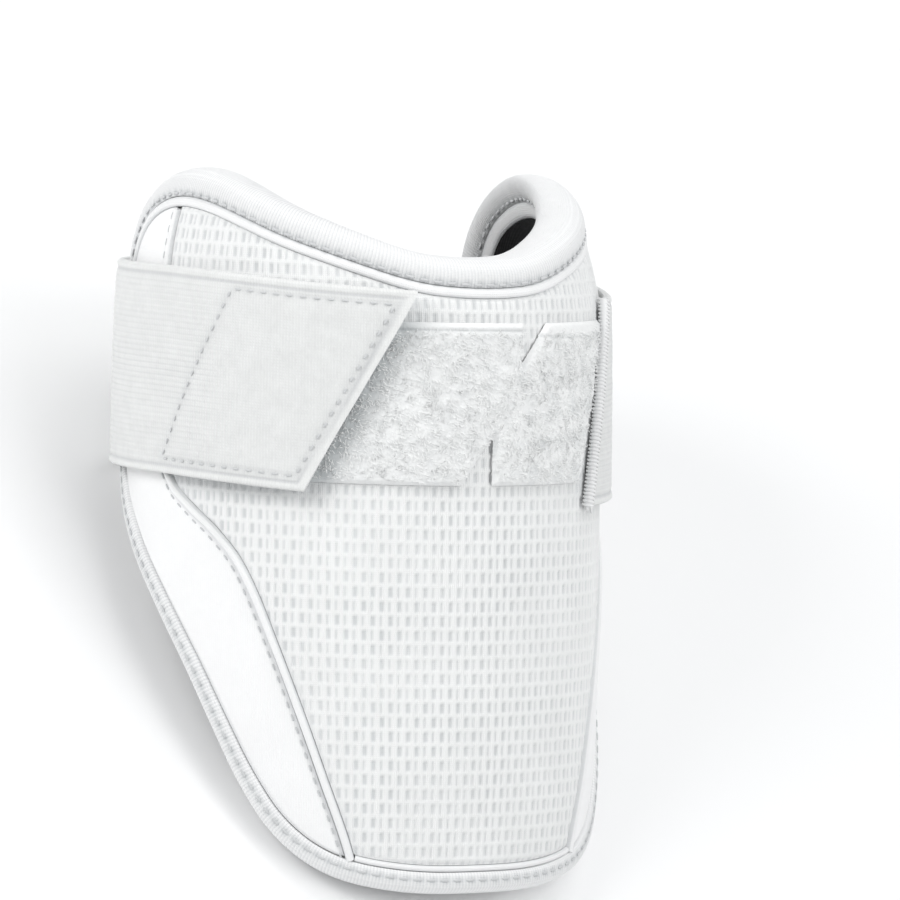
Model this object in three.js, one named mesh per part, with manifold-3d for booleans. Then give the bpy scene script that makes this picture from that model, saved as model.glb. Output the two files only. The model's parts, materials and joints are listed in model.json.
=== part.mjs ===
// Baseball elbow guard: a padded shell that wraps the elbow, held by one wide elastic strap.
// The guard is drawn in its own frame (X to the side, Y up the arm, Z out of the front) and then
// laid down as it rests, shell up, on the strap's back and the two wing edges. Millimetres.
import * as THREE from 'three';
import Module from 'manifold-3d';
import { mergeVertices } from 'three/addons/utils/BufferGeometryUtils.js';

const wasm = await Module();
wasm.setup();

// Size of the body
const HALF_WIDTH = 60;
const HALF_DEPTH = 53;
const RIM_PEAK = 51.5;
const FOOT_DROP = 118;
const WRAP_ANGLE = 125.5;
const WALL = 9;

// Layers through the wall
const GAP = 0.3;
const LAYER_GAP = 0.4;
const COVER = 1.6;
const LINING = 1.2;

// Bindings, bands and piping
const TOP_BINDING = 6.8;
const LOWER_BINDING = 5.4;
const BINDING_BULGE = 1.2;
const BINDING_WEB = 2.4;
const BAND_WIDTH = 2;
const BAND_PROUD = 0.5;
const PIPING_WIDTH = 1.9;
const PIPING_PROUD = 0.8;
const FOOT_PIPING_WIDTH = 1.1;
const FOOT_PIPING_PROUD = 0.4;
const INNER_TAPE_WIDTH = 3.2;
const INNER_TAPE_THICK = 1.4;

// Strap and its fastening
const STRAP_WIDTH = 49.5;
const STRAP_THICK = 2;
const STRAP_SLACK = 5;
const STRAP_CORNER = 3;
const PATCH_HEIGHT = 38.6;
const PATCH_DROP = 1.3;
const PATCH_THICK = 1.4;
const HOOK_THICK = 1;
const HOOK_INSET = 1.6;
const OVERLOCK_WIDTH = 2.4;
const OVERLOCK_THICK = 3;

// Body sections up the arm. up is a share of RIM_PEAK above the middle and of FOOT_DROP below
// it, width a share of HALF_WIDTH, depth and the shift forward shares of HALF_DEPTH.
const SECTIONS = [
  { up: -1.1, width: 0.933, depth: 0.925, forward: 0.17 },
  { up: -0.763, width: 0.975, depth: 0.981, forward: 0.113 },
  { up: -0.339, width: 1, depth: 1, forward: 0.038 },
  { up: 0, width: 0.999, depth: 0.984, forward: 0 },
  { up: 0.388, width: 0.993, depth: 0.968, forward: -0.019 },
  { up: 0.563, width: 0.974, depth: 0.938, forward: -0.038 },
  { up: 0.738, width: 0.938, depth: 0.896, forward: -0.057 },
  { up: 0.913, width: 0.885, depth: 0.84, forward: -0.068 },
  { up: 1.068, width: 0.823, depth: 0.776, forward: -0.075 },
];

// Upper rim from the front to a wing tip. round is a share of WRAP_ANGLE.
const RIM = [
  { round: 0, up: 0.641 },
  { round: 0.12, up: 0.66 },
  { round: 0.199, up: 0.709 },
  { round: 0.295, up: 0.777 },
  { round: 0.382, up: 0.839 },
  { round: 0.486, up: 0.92 },
  { round: 0.574, up: 0.975 },
  { round: 0.669, up: 1 },
  { round: 0.749, up: 0.985 },
  { round: 0.829, up: 0.93 },
  { round: 0.892, up: 0.845 },
  { round: 0.948, up: 0.7 },
  { round: 0.984, up: 0.5 },
  { round: 1, up: 0.25 },
  { round: 1.002, up: 0.05 },
];

// Lower edge from a wing tip back to the front
const FOOT = [
  { round: 0.996, up: -0.14 },
  { round: 0.94, up: -0.23 },
  { round: 0.829, up: -0.339 },
  { round: 0.717, up: -0.453 },
  { round: 0.629, up: -0.568 },
  { round: 0.566, up: -0.676 },
  { round: 0.502, up: -0.79 },
  { round: 0.438, up: -0.879 },
  { round: 0.367, up: -0.938 },
  { round: 0.287, up: -0.974 },
  { round: 0.159, up: -0.996 },
  { round: 0, up: -1 },
];

// Thickness round the wall, as a share of WALL
const THICKNESS = [
  { round: 0, share: 1 },
  { round: 0.4, share: 1 },
  { round: 0.717, share: 0.89 },
  { round: 1, share: 0.74 },
];

// Seam between the mesh and each wing, from the foot to the rim
const SEAM = [
  { up: -1.06, round: 0.239 },
  { up: -0.92, round: 0.271 },
  { up: -0.771, round: 0.321 },
  { up: -0.653, round: 0.361 },
  { up: -0.497, round: 0.418 },
  { up: -0.403, round: 0.457 },
  { up: -0.343, round: 0.491 },
  { up: -0.285, round: 0.547 },
  { up: -0.246, round: 0.602 },
  { up: -0.203, round: 0.658 },
  { up: -0.144, round: 0.69 },
  { up: 0, round: 0.696 },
  { up: 0.97, round: 0.701 },
];

// Strap from its sewn start at the right front, round the back, to its loose end at the left
// front. round is negative on the left, rise is the height of its middle as a share of its
// width, edge the share of the clearance over the bindings and stack that over the patch.
const STRAP = [
  { round: 0.24, rise: -0.038, edge: 0.33, stack: 0 },
  { round: 0.446, rise: -0.028, edge: 0.67, stack: 0 },
  { round: 0.717, rise: 0.028, edge: 1, stack: 0 },
  { round: 0.988, rise: 0.069, edge: 1.33, stack: 0 },
  { round: -0.988, rise: 0.069, edge: 1.33, stack: 0 },
  { round: -0.669, rise: 0.073, edge: 1.07, stack: 0 },
  { round: -0.574, rise: 0.069, edge: 0.5, stack: 0.62 },
  { round: -0.478, rise: 0.059, edge: 0, stack: 1.06 },
  { round: -0.335, rise: 0.038, edge: 0, stack: 1.12 },
  { round: -0.12, rise: 0.014, edge: 0, stack: 1.4 },
];

// Slanted ends, at the lower and the upper edge of the strap, the hook tape and the patch
const STRAP_START = { low: 0.291, high: 0.414 };
const STRAP_END = { low: -0.349, high: -0.15 };
const HOOK_START = { low: -0.657, high: -0.486 };
const PATCH_LEFT = { low: -0.494, high: -0.319 };
const PATCH_RIGHT = { low: 0.249, high: 0.365 };

// Slanted notches in the loop patch, each a triangle cut in from one edge. across is the share
// of the patch's height from its middle.
const NOTCHES = [
  [{ round: 0.088, across: 0.56 }, { round: 0.073, across: 0.23 }, { round: 0.159, across: 0.56 }],
  [{ round: -0.069, across: -0.56 }, { round: 0.011, across: -0.18 }, { round: 0.008, across: -0.56 }],
];

const mix = (a, b, t) => a + (b - a) * t;
const radians = (degrees) => (degrees * Math.PI) / 180;
const steps = (count) => Array.from({ length: count + 1 }, (_, i) => i / count);

// Reads a column of a table by a monotone cubic through its rows, which run upwards in key.
function readTable(rows, key, column, at) {
  const x = Math.min(Math.max(at, rows[0][key]), rows[rows.length - 1][key]);
  const slope = (i) => (rows[i + 1][column] - rows[i][column]) / (rows[i + 1][key] - rows[i][key]);
  const tangent = (i) => {
    if (i === 0) return slope(0);
    if (i === rows.length - 1) return slope(i - 1);
    const before = slope(i - 1);
    const after = slope(i);
    return before * after <= 0 ? 0 : (2 * before * after) / (before + after);
  };
  let i = 0;
  while (i < rows.length - 2 && x > rows[i + 1][key]) i += 1;
  const span = rows[i + 1][key] - rows[i][key];
  const t = (x - rows[i][key]) / span;
  const s = 1 - t;
  return rows[i][column] * (1 + 2 * t) * s * s + span * tangent(i) * t * s * s
    + rows[i + 1][column] * t * t * (3 - 2 * t) - span * tangent(i + 1) * t * t * s;
}

const heightOf = (up) => up * (up < 0 ? FOOT_DROP : RIM_PEAK);
const upOf = (y) => y / (y < 0 ? FOOT_DROP : RIM_PEAK);
const angleOf = (round) => round * WRAP_ANGLE;

// Point of the body at an angle from the front and a height, moved outwards by off.
function onBody(angle, y, off) {
  const read = (column) => readTable(SECTIONS, 'up', column, upOf(y));
  const width = HALF_WIDTH * read('width') + off;
  const depth = HALF_DEPTH * read('depth') + off;
  return new THREE.Vector3(
    width * Math.sin(radians(angle)),
    y,
    HALF_DEPTH * read('forward') + depth * Math.cos(radians(angle)),
  );
}

const wallAt = (angle) => WALL * readTable(THICKNESS, 'round', 'share', Math.abs(angle) / WRAP_ANGLE);
const seamAt = (y) => angleOf(readTable(SEAM, 'up', 'round', upOf(y)));

// Millimetres along the surface for each degree of turn
const PER_DEGREE = radians((HALF_WIDTH + HALF_DEPTH) / 2);

// Closed outline on the flattened surface, right half first, from the front dip round.
function outline(count) {
  const right = [...RIM, ...FOOT].map(({ round, up }) => new THREE.Vector3(
    angleOf(round) * PER_DEGREE, heightOf(up), 0));
  const left = right.slice(1, -1).reverse().map((spot) => new THREE.Vector3(-spot.x, spot.y, 0));
  const curve = new THREE.CatmullRomCurve3([...right, ...left], true, 'centripetal');
  return curve.getSpacedPoints(count).slice(0, count);
}

const OUTLINE = outline(104);
const COUNT = OUTLINE.length;

// Number of outline points from the front dip to the tip of one wing
const TIP = OUTLINE.reduce((best, spot, i) => (spot.x > OUTLINE[best].x ? i : best), 0);

// Angle and height of a place that lies a distance inside outline point i. A fraction in i is a
// place between two points.
function insideEdge(i, distance) {
  const pick = (k) => OUTLINE[((k % COUNT) + COUNT) % COUNT];
  const whole = Math.floor(i);
  const spots = [whole, whole + 1].map((k) => {
    const along = pick(k + 1).clone().sub(pick(k - 1)).normalize();
    return pick(k).clone().add(new THREE.Vector3(along.y, -along.x, 0).multiplyScalar(distance));
  });
  const spot = spots[0].lerp(spots[1], i - whole);
  return { angle: spot.x / PER_DEGREE, y: spot.y };
}

// Ring of places a distance inside the outline. The rim and the lower edge may differ.
function insetRing(rimInset, footInset) {
  return OUTLINE.map((_, i) => {
    const onRim = i <= TIP || i >= COUNT - TIP;
    return insideEdge(i, onRim ? rimInset : footInset);
  });
}

// Lowest and highest crossing of a ring at one angle.
function columnSpan(ring, angle) {
  const hits = [];
  ring.forEach((from, i) => {
    const to = ring[(i + 1) % ring.length];
    if ((from.angle - angle) * (to.angle - angle) > 0 || from.angle === to.angle) return;
    hits.push(mix(from.y, to.y, (angle - from.angle) / (to.angle - from.angle)));
  });
  return { low: Math.min(...hits), high: Math.max(...hits) };
}

// Widest angle of a ring's right half at one height.
function rowReach(ring, y) {
  let reach = 0;
  ring.forEach((from, i) => {
    const to = ring[(i + 1) % ring.length];
    if ((from.y - y) * (to.y - y) > 0 || from.y === to.y) return;
    reach = Math.max(reach, mix(from.angle, to.angle, (y - from.y) / (to.y - from.y)));
  });
  return reach;
}

// Geometry with outward faces, whichever way its corners were listed.
function closed(positions, index) {
  let geometry = new THREE.BufferGeometry();
  geometry.setAttribute('position', new THREE.Float32BufferAttribute(positions, 3));
  geometry.setIndex(index);
  geometry = mergeVertices(geometry, 1e-4);
  const place = geometry.getAttribute('position');
  const order = Array.from(geometry.getIndex().array);
  const corners = [new THREE.Vector3(), new THREE.Vector3(), new THREE.Vector3()];
  const kept = [];
  let volume = 0;
  for (let i = 0; i < order.length; i += 3) {
    const face = order.slice(i, i + 3);
    if (new Set(face).size < 3) continue;
    kept.push(...face);
    const [a, b, c] = corners.map((corner, k) => corner.fromBufferAttribute(place, face[k]));
    volume += a.dot(b.cross(c));
  }
  if (volume < 0) kept.reverse();
  geometry.setIndex(kept);
  return geometry;
}

// Closed body between an outer and an inner grid of points, each a list of rows.
function slab(outer, inner) {
  const rows = outer.length;
  const columns = outer[0].length;
  const positions = [...outer.flat(), ...inner.flat()].flatMap((p) => [p.x, p.y, p.z]);
  const under = rows * columns;
  const index = [];
  const quad = (a, b, c, d) => index.push(a, b, c, a, c, d);
  for (let v = 0; v < rows - 1; v += 1) {
    for (let u = 0; u < columns - 1; u += 1) {
      const at = v * columns + u;
      quad(at, at + 1, at + columns + 1, at + columns);
      quad(under + at, under + at + columns, under + at + columns + 1, under + at + 1);
    }
  }
  const border = [];
  for (let u = 0; u < columns - 1; u += 1) border.push(u);
  for (let v = 0; v < rows - 1; v += 1) border.push(v * columns + columns - 1);
  for (let u = columns - 1; u > 0; u -= 1) border.push((rows - 1) * columns + u);
  for (let v = rows - 1; v > 0; v -= 1) border.push(v * columns);
  border.forEach((from, i) => {
    const to = border[(i + 1) % border.length];
    quad(to, from, under + from, under + to);
  });
  return closed(positions, index);
}

// Closed body swept through rings of points of equal length, with flat ends.
function sweep(rings, profile) {
  const size = rings[0].length;
  const positions = rings.flat().flatMap((p) => [p.x, p.y, p.z]);
  const index = [];
  for (let r = 0; r < rings.length - 1; r += 1) {
    for (let k = 0; k < size; k += 1) {
      const a = r * size + k;
      const b = r * size + ((k + 1) % size);
      index.push(a, b, b + size, a, b + size, a + size);
    }
  }
  const flat = profile.map(([x, y]) => new THREE.Vector2(x, y));
  const last = (rings.length - 1) * size;
  const turned = THREE.ShapeUtils.isClockWise(flat);
  THREE.ShapeUtils.triangulateShape(flat, []).forEach((corners) => {
    const [a, b, c] = turned ? [...corners].reverse() : corners;
    index.push(c, b, a, last + a, last + b, last + c);
  });
  return closed(positions, index);
}

// Sheet over a grid of places, between two offsets that may follow the angle.
function sheet(grid, outerOff, innerOff) {
  const face = (off) => grid.map((row) => row.map(({ angle, y }) => onBody(angle, y, off(angle))));
  return slab(face(outerOff), face(innerOff));
}

// Grid in columns of one angle each, across a ring's whole width. Its rows are closer near the
// rim and its columns closer near the wing tips.
function columnGrid(ring, columns, rows) {
  const reach = Math.max(...ring.map((spot) => spot.angle)) * 0.995;
  return steps(rows).map((v) => steps(columns).map((u) => {
    const angle = reach * (2 * u - 1 - 0.12 * Math.sin(2 * Math.PI * u));
    const { low, high } = columnSpan(ring, angle);
    return { angle, y: mix(low, high, v + 0.13 * Math.sin(Math.PI * v)) };
  }));
}

// Band along outline points first to last, its profile given as [distance inside, offset].
function edgeBand(first, last, profileAt) {
  const rings = steps(Math.round(last - first)).map((t) => {
    const i = mix(first, last, t);
    return profileAt(0).map(([distance], corner) => {
      const spot = insideEdge(i, distance);
      return onBody(spot.angle, spot.y, profileAt(spot.angle)[corner][1]);
    });
  });
  return sweep(rings, profileAt(0));
}

// Band along a row of places, its profile given as [distance to the side, offset].
function pathBand(places, profile) {
  const flat = places.map(({ angle, y }) => new THREE.Vector3(angle * PER_DEGREE, y, 0));
  const rings = flat.map((spot, i) => {
    const ahead = flat[Math.min(i + 1, flat.length - 1)];
    const behind = flat[Math.max(i - 1, 0)];
    const along = ahead.clone().sub(behind).normalize();
    return profile.map(([aside, off]) => onBody(
      (spot.x + along.y * aside) / PER_DEGREE, spot.y - along.x * aside, off));
  });
  return sweep(rings, profile);
}

// Profile of a binding folded over the edge, with a slot for the foam.
function bindingProfile(height, angle) {
  const wall = wallAt(angle);
  const whole = wall + 2 * BINDING_BULGE;
  const crown = (share, depth) => [height * share, BINDING_BULGE - whole * depth];
  return [
    [height, BINDING_BULGE * 0.1],
    crown(0.75, 0.01),
    crown(0.4, 0.01),
    crown(0.1, 0.13),
    crown(0, 0.35),
    crown(0, 0.65),
    crown(0.1, 0.87),
    crown(0.4, 0.99),
    crown(0.75, 0.99),
    [height, -wall - BINDING_BULGE * 0.1],
    [height, -wall + LINING],
    [BINDING_WEB, -wall + LINING],
    [BINDING_WEB, -COVER],
    [height, -COVER],
  ];
}

// Profile of a narrow band or cord that sits in a seam of the cover, with a rounded top.
function seamProfile(start, width, proud) {
  return [
    [start, -COVER],
    [start, 0],
    [start + width * 0.3, proud],
    [start + width * 0.7, proud],
    [start + width, 0],
    [start + width, -COVER],
  ];
}

// Room kept for the trim, measured from the outline
const BAND_START = TOP_BINDING + GAP;
const RIM_RESERVE = BAND_START + BAND_WIDTH + GAP;
const FOOT_RESERVE = LOWER_BINDING + GAP;
const FOOT_PIPING_END = FOOT_RESERVE + FOOT_PIPING_WIDTH + GAP;
const TAPE_END = BAND_START + INNER_TAPE_WIDTH;

// Foam between the cover and the lining, held in the slot of the bindings.
function paddedShell() {
  const ring = insetRing(BINDING_WEB + GAP, BINDING_WEB + GAP);
  return sheet(
    columnGrid(ring, 42, 12),
    () => -COVER - LAYER_GAP,
    (angle) => -wallAt(angle) + LINING + LAYER_GAP,
  );
}

// Lining, from binding to binding on the inside, below the tape under the rim.
function innerLining() {
  const ring = insetRing(TAPE_END + 3 * GAP, FOOT_RESERVE);
  return sheet(
    columnGrid(ring, 32, 8),
    (angle) => -wallAt(angle) + LINING,
    (angle) => -wallAt(angle),
  );
}

// Tape inside the rim, between the upper binding and the lining.
function innerTape() {
  return edgeBand(3 - TIP, TIP - 3, (angle) => {
    const outer = -wallAt(angle) + LINING;
    return [
      [BAND_START, outer],
      [TAPE_END, outer],
      [TAPE_END, outer - INNER_TAPE_THICK],
      [BAND_START, outer - INNER_TAPE_THICK],
    ];
  });
}

// Angle taken up by half the piping and its gap, where the seam runs at a slant.
function seamShift(y) {
  const slope = ((seamAt(y + 1) - seamAt(y - 1)) / 2) * PER_DEGREE;
  return ((PIPING_WIDTH / 2 + LAYER_GAP) * Math.hypot(1, slope)) / PER_DEGREE;
}

// Heights evenly spaced along the seam, and along a second edge if one is given, over the
// heights that pass a test.
function seamHeights(passes, count, secondEdge = () => 0) {
  const within = steps(600).map((t) => mix(-FOOT_DROP, RIM_PEAK, t)).filter(passes);
  const [low, high] = [Math.min(...within), Math.max(...within)];
  const trace = steps(300).map((t) => {
    const y = mix(low, high, t);
    return new THREE.Vector3(seamAt(y) * PER_DEGREE, y, secondEdge(y) * PER_DEGREE);
  });
  return new THREE.CatmullRomCurve3(trace).getSpacedPoints(count).map((spot) => spot.y);
}

const SEAM_PARTS = 28;

// Mesh face between the two seams.
function meshPanel() {
  const ring = insetRing(RIM_RESERVE, FOOT_PIPING_END);
  const edge = (y) => seamAt(y) - seamShift(y);
  const end = (u, side) => {
    let angle = 0;
    for (let pass = 0; pass < 20; pass += 1) angle = u * edge(columnSpan(ring, angle)[side]);
    return columnSpan(ring, angle)[side];
  };
  const [low, high] = [end(1, 'low'), end(1, 'high')];
  const rows = seamHeights((y) => y > low && y < high, SEAM_PARTS - 3);
  const columns = steps(22).map((t) => mix(-1, 1, t));
  const grid = rows.map((height) => columns.map((u) => {
    const share = (height - rows[0]) / (rows[rows.length - 1] - rows[0]);
    const y = mix(end(u, 'low'), end(u, 'high'), share);
    return { angle: u * edge(y), y };
  }));
  return sheet(grid, () => 0, () => -COVER);
}

// Smooth cover of one wing, from the seam to the bindings.
function wingCover(side) {
  const ring = insetRing(RIM_RESERVE, FOOT_RESERVE);
  const start = (y) => seamAt(y) + seamShift(y);
  const least = PIPING_WIDTH * 0.6;
  const reach = (y) => rowReach(ring, y);
  const grid = seamHeights((y) => reach(y) - start(y) > least, SEAM_PARTS, reach)
    .map((y) => steps(5).map((u) => ({ angle: side * mix(start(y), reach(y), u), y })));
  return sheet(grid, () => 0, () => -COVER);
}

// Piping in the seam between the mesh and one wing, from the band above to the binding below.
function sidePiping(side) {
  const ring = insetRing(RIM_RESERVE, FOOT_RESERVE);
  const inside = (y) => {
    const { low, high } = columnSpan(ring, seamAt(y));
    return y > low + PIPING_WIDTH / 3 && y < high - PIPING_WIDTH / 3;
  };
  const places = seamHeights(inside, SEAM_PARTS).map((y) => ({ angle: side * seamAt(y), y }));
  return pathBand(places, seamProfile(-PIPING_WIDTH / 2, PIPING_WIDTH, PIPING_PROUD));
}

// Thin piping along the foot of the mesh, between the two side pipings.
function footPiping() {
  const middle = COUNT / 2;
  const corner = seamAt(-FOOT_DROP + FOOT_RESERVE);
  const reach = corner - (PIPING_WIDTH * 0.75 + GAP) / PER_DEGREE;
  let span = 0;
  while (Math.abs(insideEdge(middle + span + 0.1, FOOT_PIPING_END).angle) < reach) span += 0.1;
  return edgeBand(
    middle - span,
    middle + span,
    () => seamProfile(FOOT_RESERVE, FOOT_PIPING_WIDTH, FOOT_PIPING_PROUD),
  );
}

// Flat band along the foot of the upper binding.
function topBand() {
  return edgeBand(2 - TIP, TIP - 2, () => seamProfile(BAND_START, BAND_WIDTH, BAND_PROUD));
}

// Half the gap between the two bindings at a wing tip, in outline points
const TIP_GAP = GAP / 2 / OUTLINE[0].distanceTo(OUTLINE[1]);

// Binding folded over the upper rim, from one wing tip to the other.
function topBinding() {
  return edgeBand(TIP_GAP - TIP, TIP - TIP_GAP, (angle) => bindingProfile(TOP_BINDING, angle));
}

// Binding folded over the lower edge and up both wings.
function lowerBinding() {
  return edgeBand(
    TIP + TIP_GAP,
    COUNT - TIP - TIP_GAP,
    (angle) => bindingProfile(LOWER_BINDING, angle),
  );
}

const turnOf = (round) => (round < 0 ? 360 : 0) + angleOf(round);
const STRAP_PATH = STRAP.map((row) => ({ ...row, turn: turnOf(row.round) }));
const EDGE_CLEARANCE = BINDING_BULGE + GAP;
const STACK_CLEARANCE = PATCH_THICK + HOOK_THICK + 3 * GAP;
const STRAP_BACK = STRAP_SLACK - onBody(WRAP_ANGLE, 0, BINDING_BULGE).z;

// Gap under the strap at a turn.
function liftAt(turn) {
  const read = (column) => readTable(STRAP_PATH, 'turn', column, turn);
  return EDGE_CLEARANCE * read('edge') + STACK_CLEARANCE * read('stack');
}

// Height of a share of the strap's width at a turn.
function strapHeight(turn, across) {
  return (readTable(STRAP_PATH, 'turn', 'rise', turn) + across - 0.5) * STRAP_WIDTH;
}

// Point of the strap's path. Behind the wings it leaves the body's curve and runs straight.
function onStrap(turn, across, off) {
  const point = onBody(turn, strapHeight(turn, across), off);
  if (point.z > 0) return point;
  const flat = -STRAP_BACK - off;
  point.z = (point.z + flat + Math.hypot(point.z - flat, STRAP_CORNER)) / 2;
  return point;
}

// Turns of the strap's sections, closer together where it rounds the wing tips.
function strapTurns(from, to) {
  const spans = [
    { until: WRAP_ANGLE - 5, step: 5.4 },
    { until: WRAP_ANGLE + 17, step: 2.2 },
    { until: 343 - WRAP_ANGLE, step: 12.7 },
    { until: 365 - WRAP_ANGLE, step: 2.2 },
    { until: to, step: 4.9 },
  ];
  const turns = [from];
  spans.forEach(({ until, step }) => {
    const start = turns[turns.length - 1];
    if (until <= start) return;
    const count = Math.max(1, Math.round((until - start) / step));
    for (let i = 1; i <= count; i += 1) turns.push(mix(start, until, i / count));
  });
  return turns;
}

// Length of strap between two slanted ends, its inner face at liftAt plus base.
function strapLength(start, end, margin, base, thick) {
  const middle = ({ low, high }) => turnOf((low + high) / 2);
  const lean = ({ low, high }) => angleOf(high - low);
  const fade = WRAP_ANGLE * 0.37;
  const turnAt = (turn, across) => [start, end].reduce((sum, slant) => {
    const near = Math.max(0, 1 - Math.abs(turn - middle(slant)) / fade);
    return sum + lean(slant) * (across - 0.5) * near;
  }, turn);
  const profile = [
    [0, 0.5], [0.02, 1], [0.35, 1], [0.67, 1], [0.98, 1],
    [1, 0.5], [0.98, 0], [0.67, 0], [0.35, 0], [0.02, 0],
  ];
  const trim = margin / STRAP_WIDTH;
  const turns = strapTurns(middle(start), middle(end) - margin / PER_DEGREE);
  const rings = turns.map((turn) => profile.map(([share, depth]) => {
    const across = mix(trim, 1 - trim, share);
    const at = turnAt(turn, across);
    return onStrap(at, across, liftAt(at) + base + depth * thick);
  }));
  return sweep(rings, profile);
}

// Thread edge over the strap's sewn start, in a line with its slant.
function overlockEdge() {
  const places = steps(12).map((across) => {
    const angle = angleOf(mix(STRAP_START.low, STRAP_START.high, across));
    return { angle, y: strapHeight(angle, across) };
  });
  const profile = [
    [1, 0.35], [1, 0.65], [0.75, 1], [0.25, 1], [0, 0.65], [0, 0.35], [0.25, 0], [0.75, 0],
  ].map(([aside, depth]) => [-GAP - aside * OVERLOCK_WIDTH, GAP + depth * OVERLOCK_THICK]);
  return pathBand(places, profile);
}

// Solid for cutting, from a closed geometry.
function solid(geometry) {
  const mesh = new wasm.Mesh({
    numProp: 3,
    vertProperties: new Float32Array(geometry.getAttribute('position').array),
    triVerts: new Uint32Array(geometry.getIndex().array),
  });
  return new wasm.Manifold(mesh);
}

// Loop patch with a slanted notch in its upper and its lower edge.
function loopPatch() {
  const heightAt = (across) => across * PATCH_HEIGHT - PATCH_DROP;
  const sideAt = ({ low, high }, v) => angleOf(mix(low, high, v));
  const grid = steps(6).map((v) => steps(18).map((u) => ({
    angle: mix(sideAt(PATCH_LEFT, v), sideAt(PATCH_RIGHT, v), u),
    y: heightAt(v - 0.5),
  })));
  const top = GAP + PATCH_THICK;
  let body = solid(sheet(grid, () => top, () => GAP));
  NOTCHES.forEach((corners) => {
    const rings = [GAP - PATCH_THICK, top + PATCH_THICK].map((off) => corners.map(
      ({ round, across }) => onBody(angleOf(round), heightAt(across), off)));
    body = body.subtract(solid(sweep(rings, corners.map(({ round, across }) => [round, across]))));
  });
  const { vertProperties, triVerts } = body.getMesh();
  return closed(Array.from(vertProperties), Array.from(triVerts));
}

const FINISHES = {
  foam: { color: 0xeeeeec, roughness: 0.9, metalness: 0 },
  mesh: { color: 0xe9ecee, roughness: 0.9, metalness: 0 },
  fabric: { color: 0xf2f3f4, roughness: 0.85, metalness: 0 },
  lining: { color: 0x0b0b0c, roughness: 0.95, metalness: 0 },
  elastic: { color: 0xdfe2e4, roughness: 0.9, metalness: 0 },
  hook: { color: 0xd8dbdd, roughness: 0.95, metalness: 0 },
  pile: { color: 0xd3dade, roughness: 1, metalness: 0 },
};

const HOOK_BASE = -GAP - HOOK_THICK;
const PIECES = [
  { name: 'padded_shell', finish: 'foam', make: paddedShell },
  { name: 'mesh_panel', finish: 'mesh', make: meshPanel },
  { name: 'left_wing_cover', finish: 'fabric', make: () => wingCover(-1) },
  { name: 'right_wing_cover', finish: 'fabric', make: () => wingCover(1) },
  { name: 'inner_lining', finish: 'lining', make: innerLining },
  { name: 'inner_tape', finish: 'fabric', make: innerTape },
  { name: 'top_binding', finish: 'fabric', make: topBinding },
  { name: 'lower_binding', finish: 'fabric', make: lowerBinding },
  { name: 'top_band', finish: 'fabric', make: topBand },
  { name: 'left_piping', finish: 'fabric', make: () => sidePiping(-1) },
  { name: 'right_piping', finish: 'fabric', make: () => sidePiping(1) },
  { name: 'bottom_piping', finish: 'fabric', make: footPiping },
  { name: 'strap', finish: 'elastic', make: () => strapLength(STRAP_START, STRAP_END, 0, 0, STRAP_THICK) },
  {
    name: 'hook_tape',
    finish: 'hook',
    make: () => strapLength(HOOK_START, STRAP_END, HOOK_INSET, HOOK_BASE, HOOK_THICK),
  },
  { name: 'loop_patch', finish: 'pile', make: loopPatch },
  { name: 'strap_overlock', finish: 'fabric', make: overlockEdge },
];

const guard = new THREE.Group();
guard.name = 'baseball_elbow_guard';
PIECES.forEach(({ name, finish, make }) => {
  const piece = new THREE.Mesh(make(), new THREE.MeshStandardMaterial(FINISHES[finish]));
  piece.name = name;
  guard.add(piece);
});

// Lowest point of a piece once the guard is tilted back by an angle.
function floorOf(name, tilt) {
  const place = guard.getObjectByName(name).geometry.getAttribute('position');
  let lowest = Infinity;
  for (let i = 0; i < place.count; i += 1) {
    lowest = Math.min(lowest, place.getY(i) * Math.sin(tilt) + place.getZ(i) * Math.cos(tilt));
  }
  return lowest;
}

// Tilt at which the strap's back and the wing edges share one floor.
function restTilt() {
  let [low, high] = [0, Math.PI / 2];
  for (let pass = 0; pass < 40; pass += 1) {
    const tilt = (low + high) / 2;
    if (floorOf('strap', tilt) < floorOf('lower_binding', tilt)) low = tilt;
    else high = tilt;
  }
  return low;
}

// The guard laid down, with the origin at the middle of its box's floor
const lay = new THREE.Matrix4().makeRotationX(restTilt());
guard.children.forEach((piece) => piece.geometry.applyMatrix4(lay));
const box = new THREE.Box3().setFromObject(guard, true);
const middle = box.getCenter(new THREE.Vector3());
guard.children.forEach((piece) => piece.geometry.translate(-middle.x, -middle.y, -box.min.z));

export default guard;
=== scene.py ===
"""Baseball elbow guard: a padded shell with a mesh face, bound edges and one wide elastic strap.

The cloth, bindings, stitches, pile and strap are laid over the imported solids, in metres.
"""
import json
import logging
import math
from collections.abc import Callable, Sequence
from dataclasses import dataclass
from enum import Enum
from functools import cached_property
from typing import NamedTuple

import bpy
import numpy as np
from mathutils import Matrix, Vector


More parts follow.
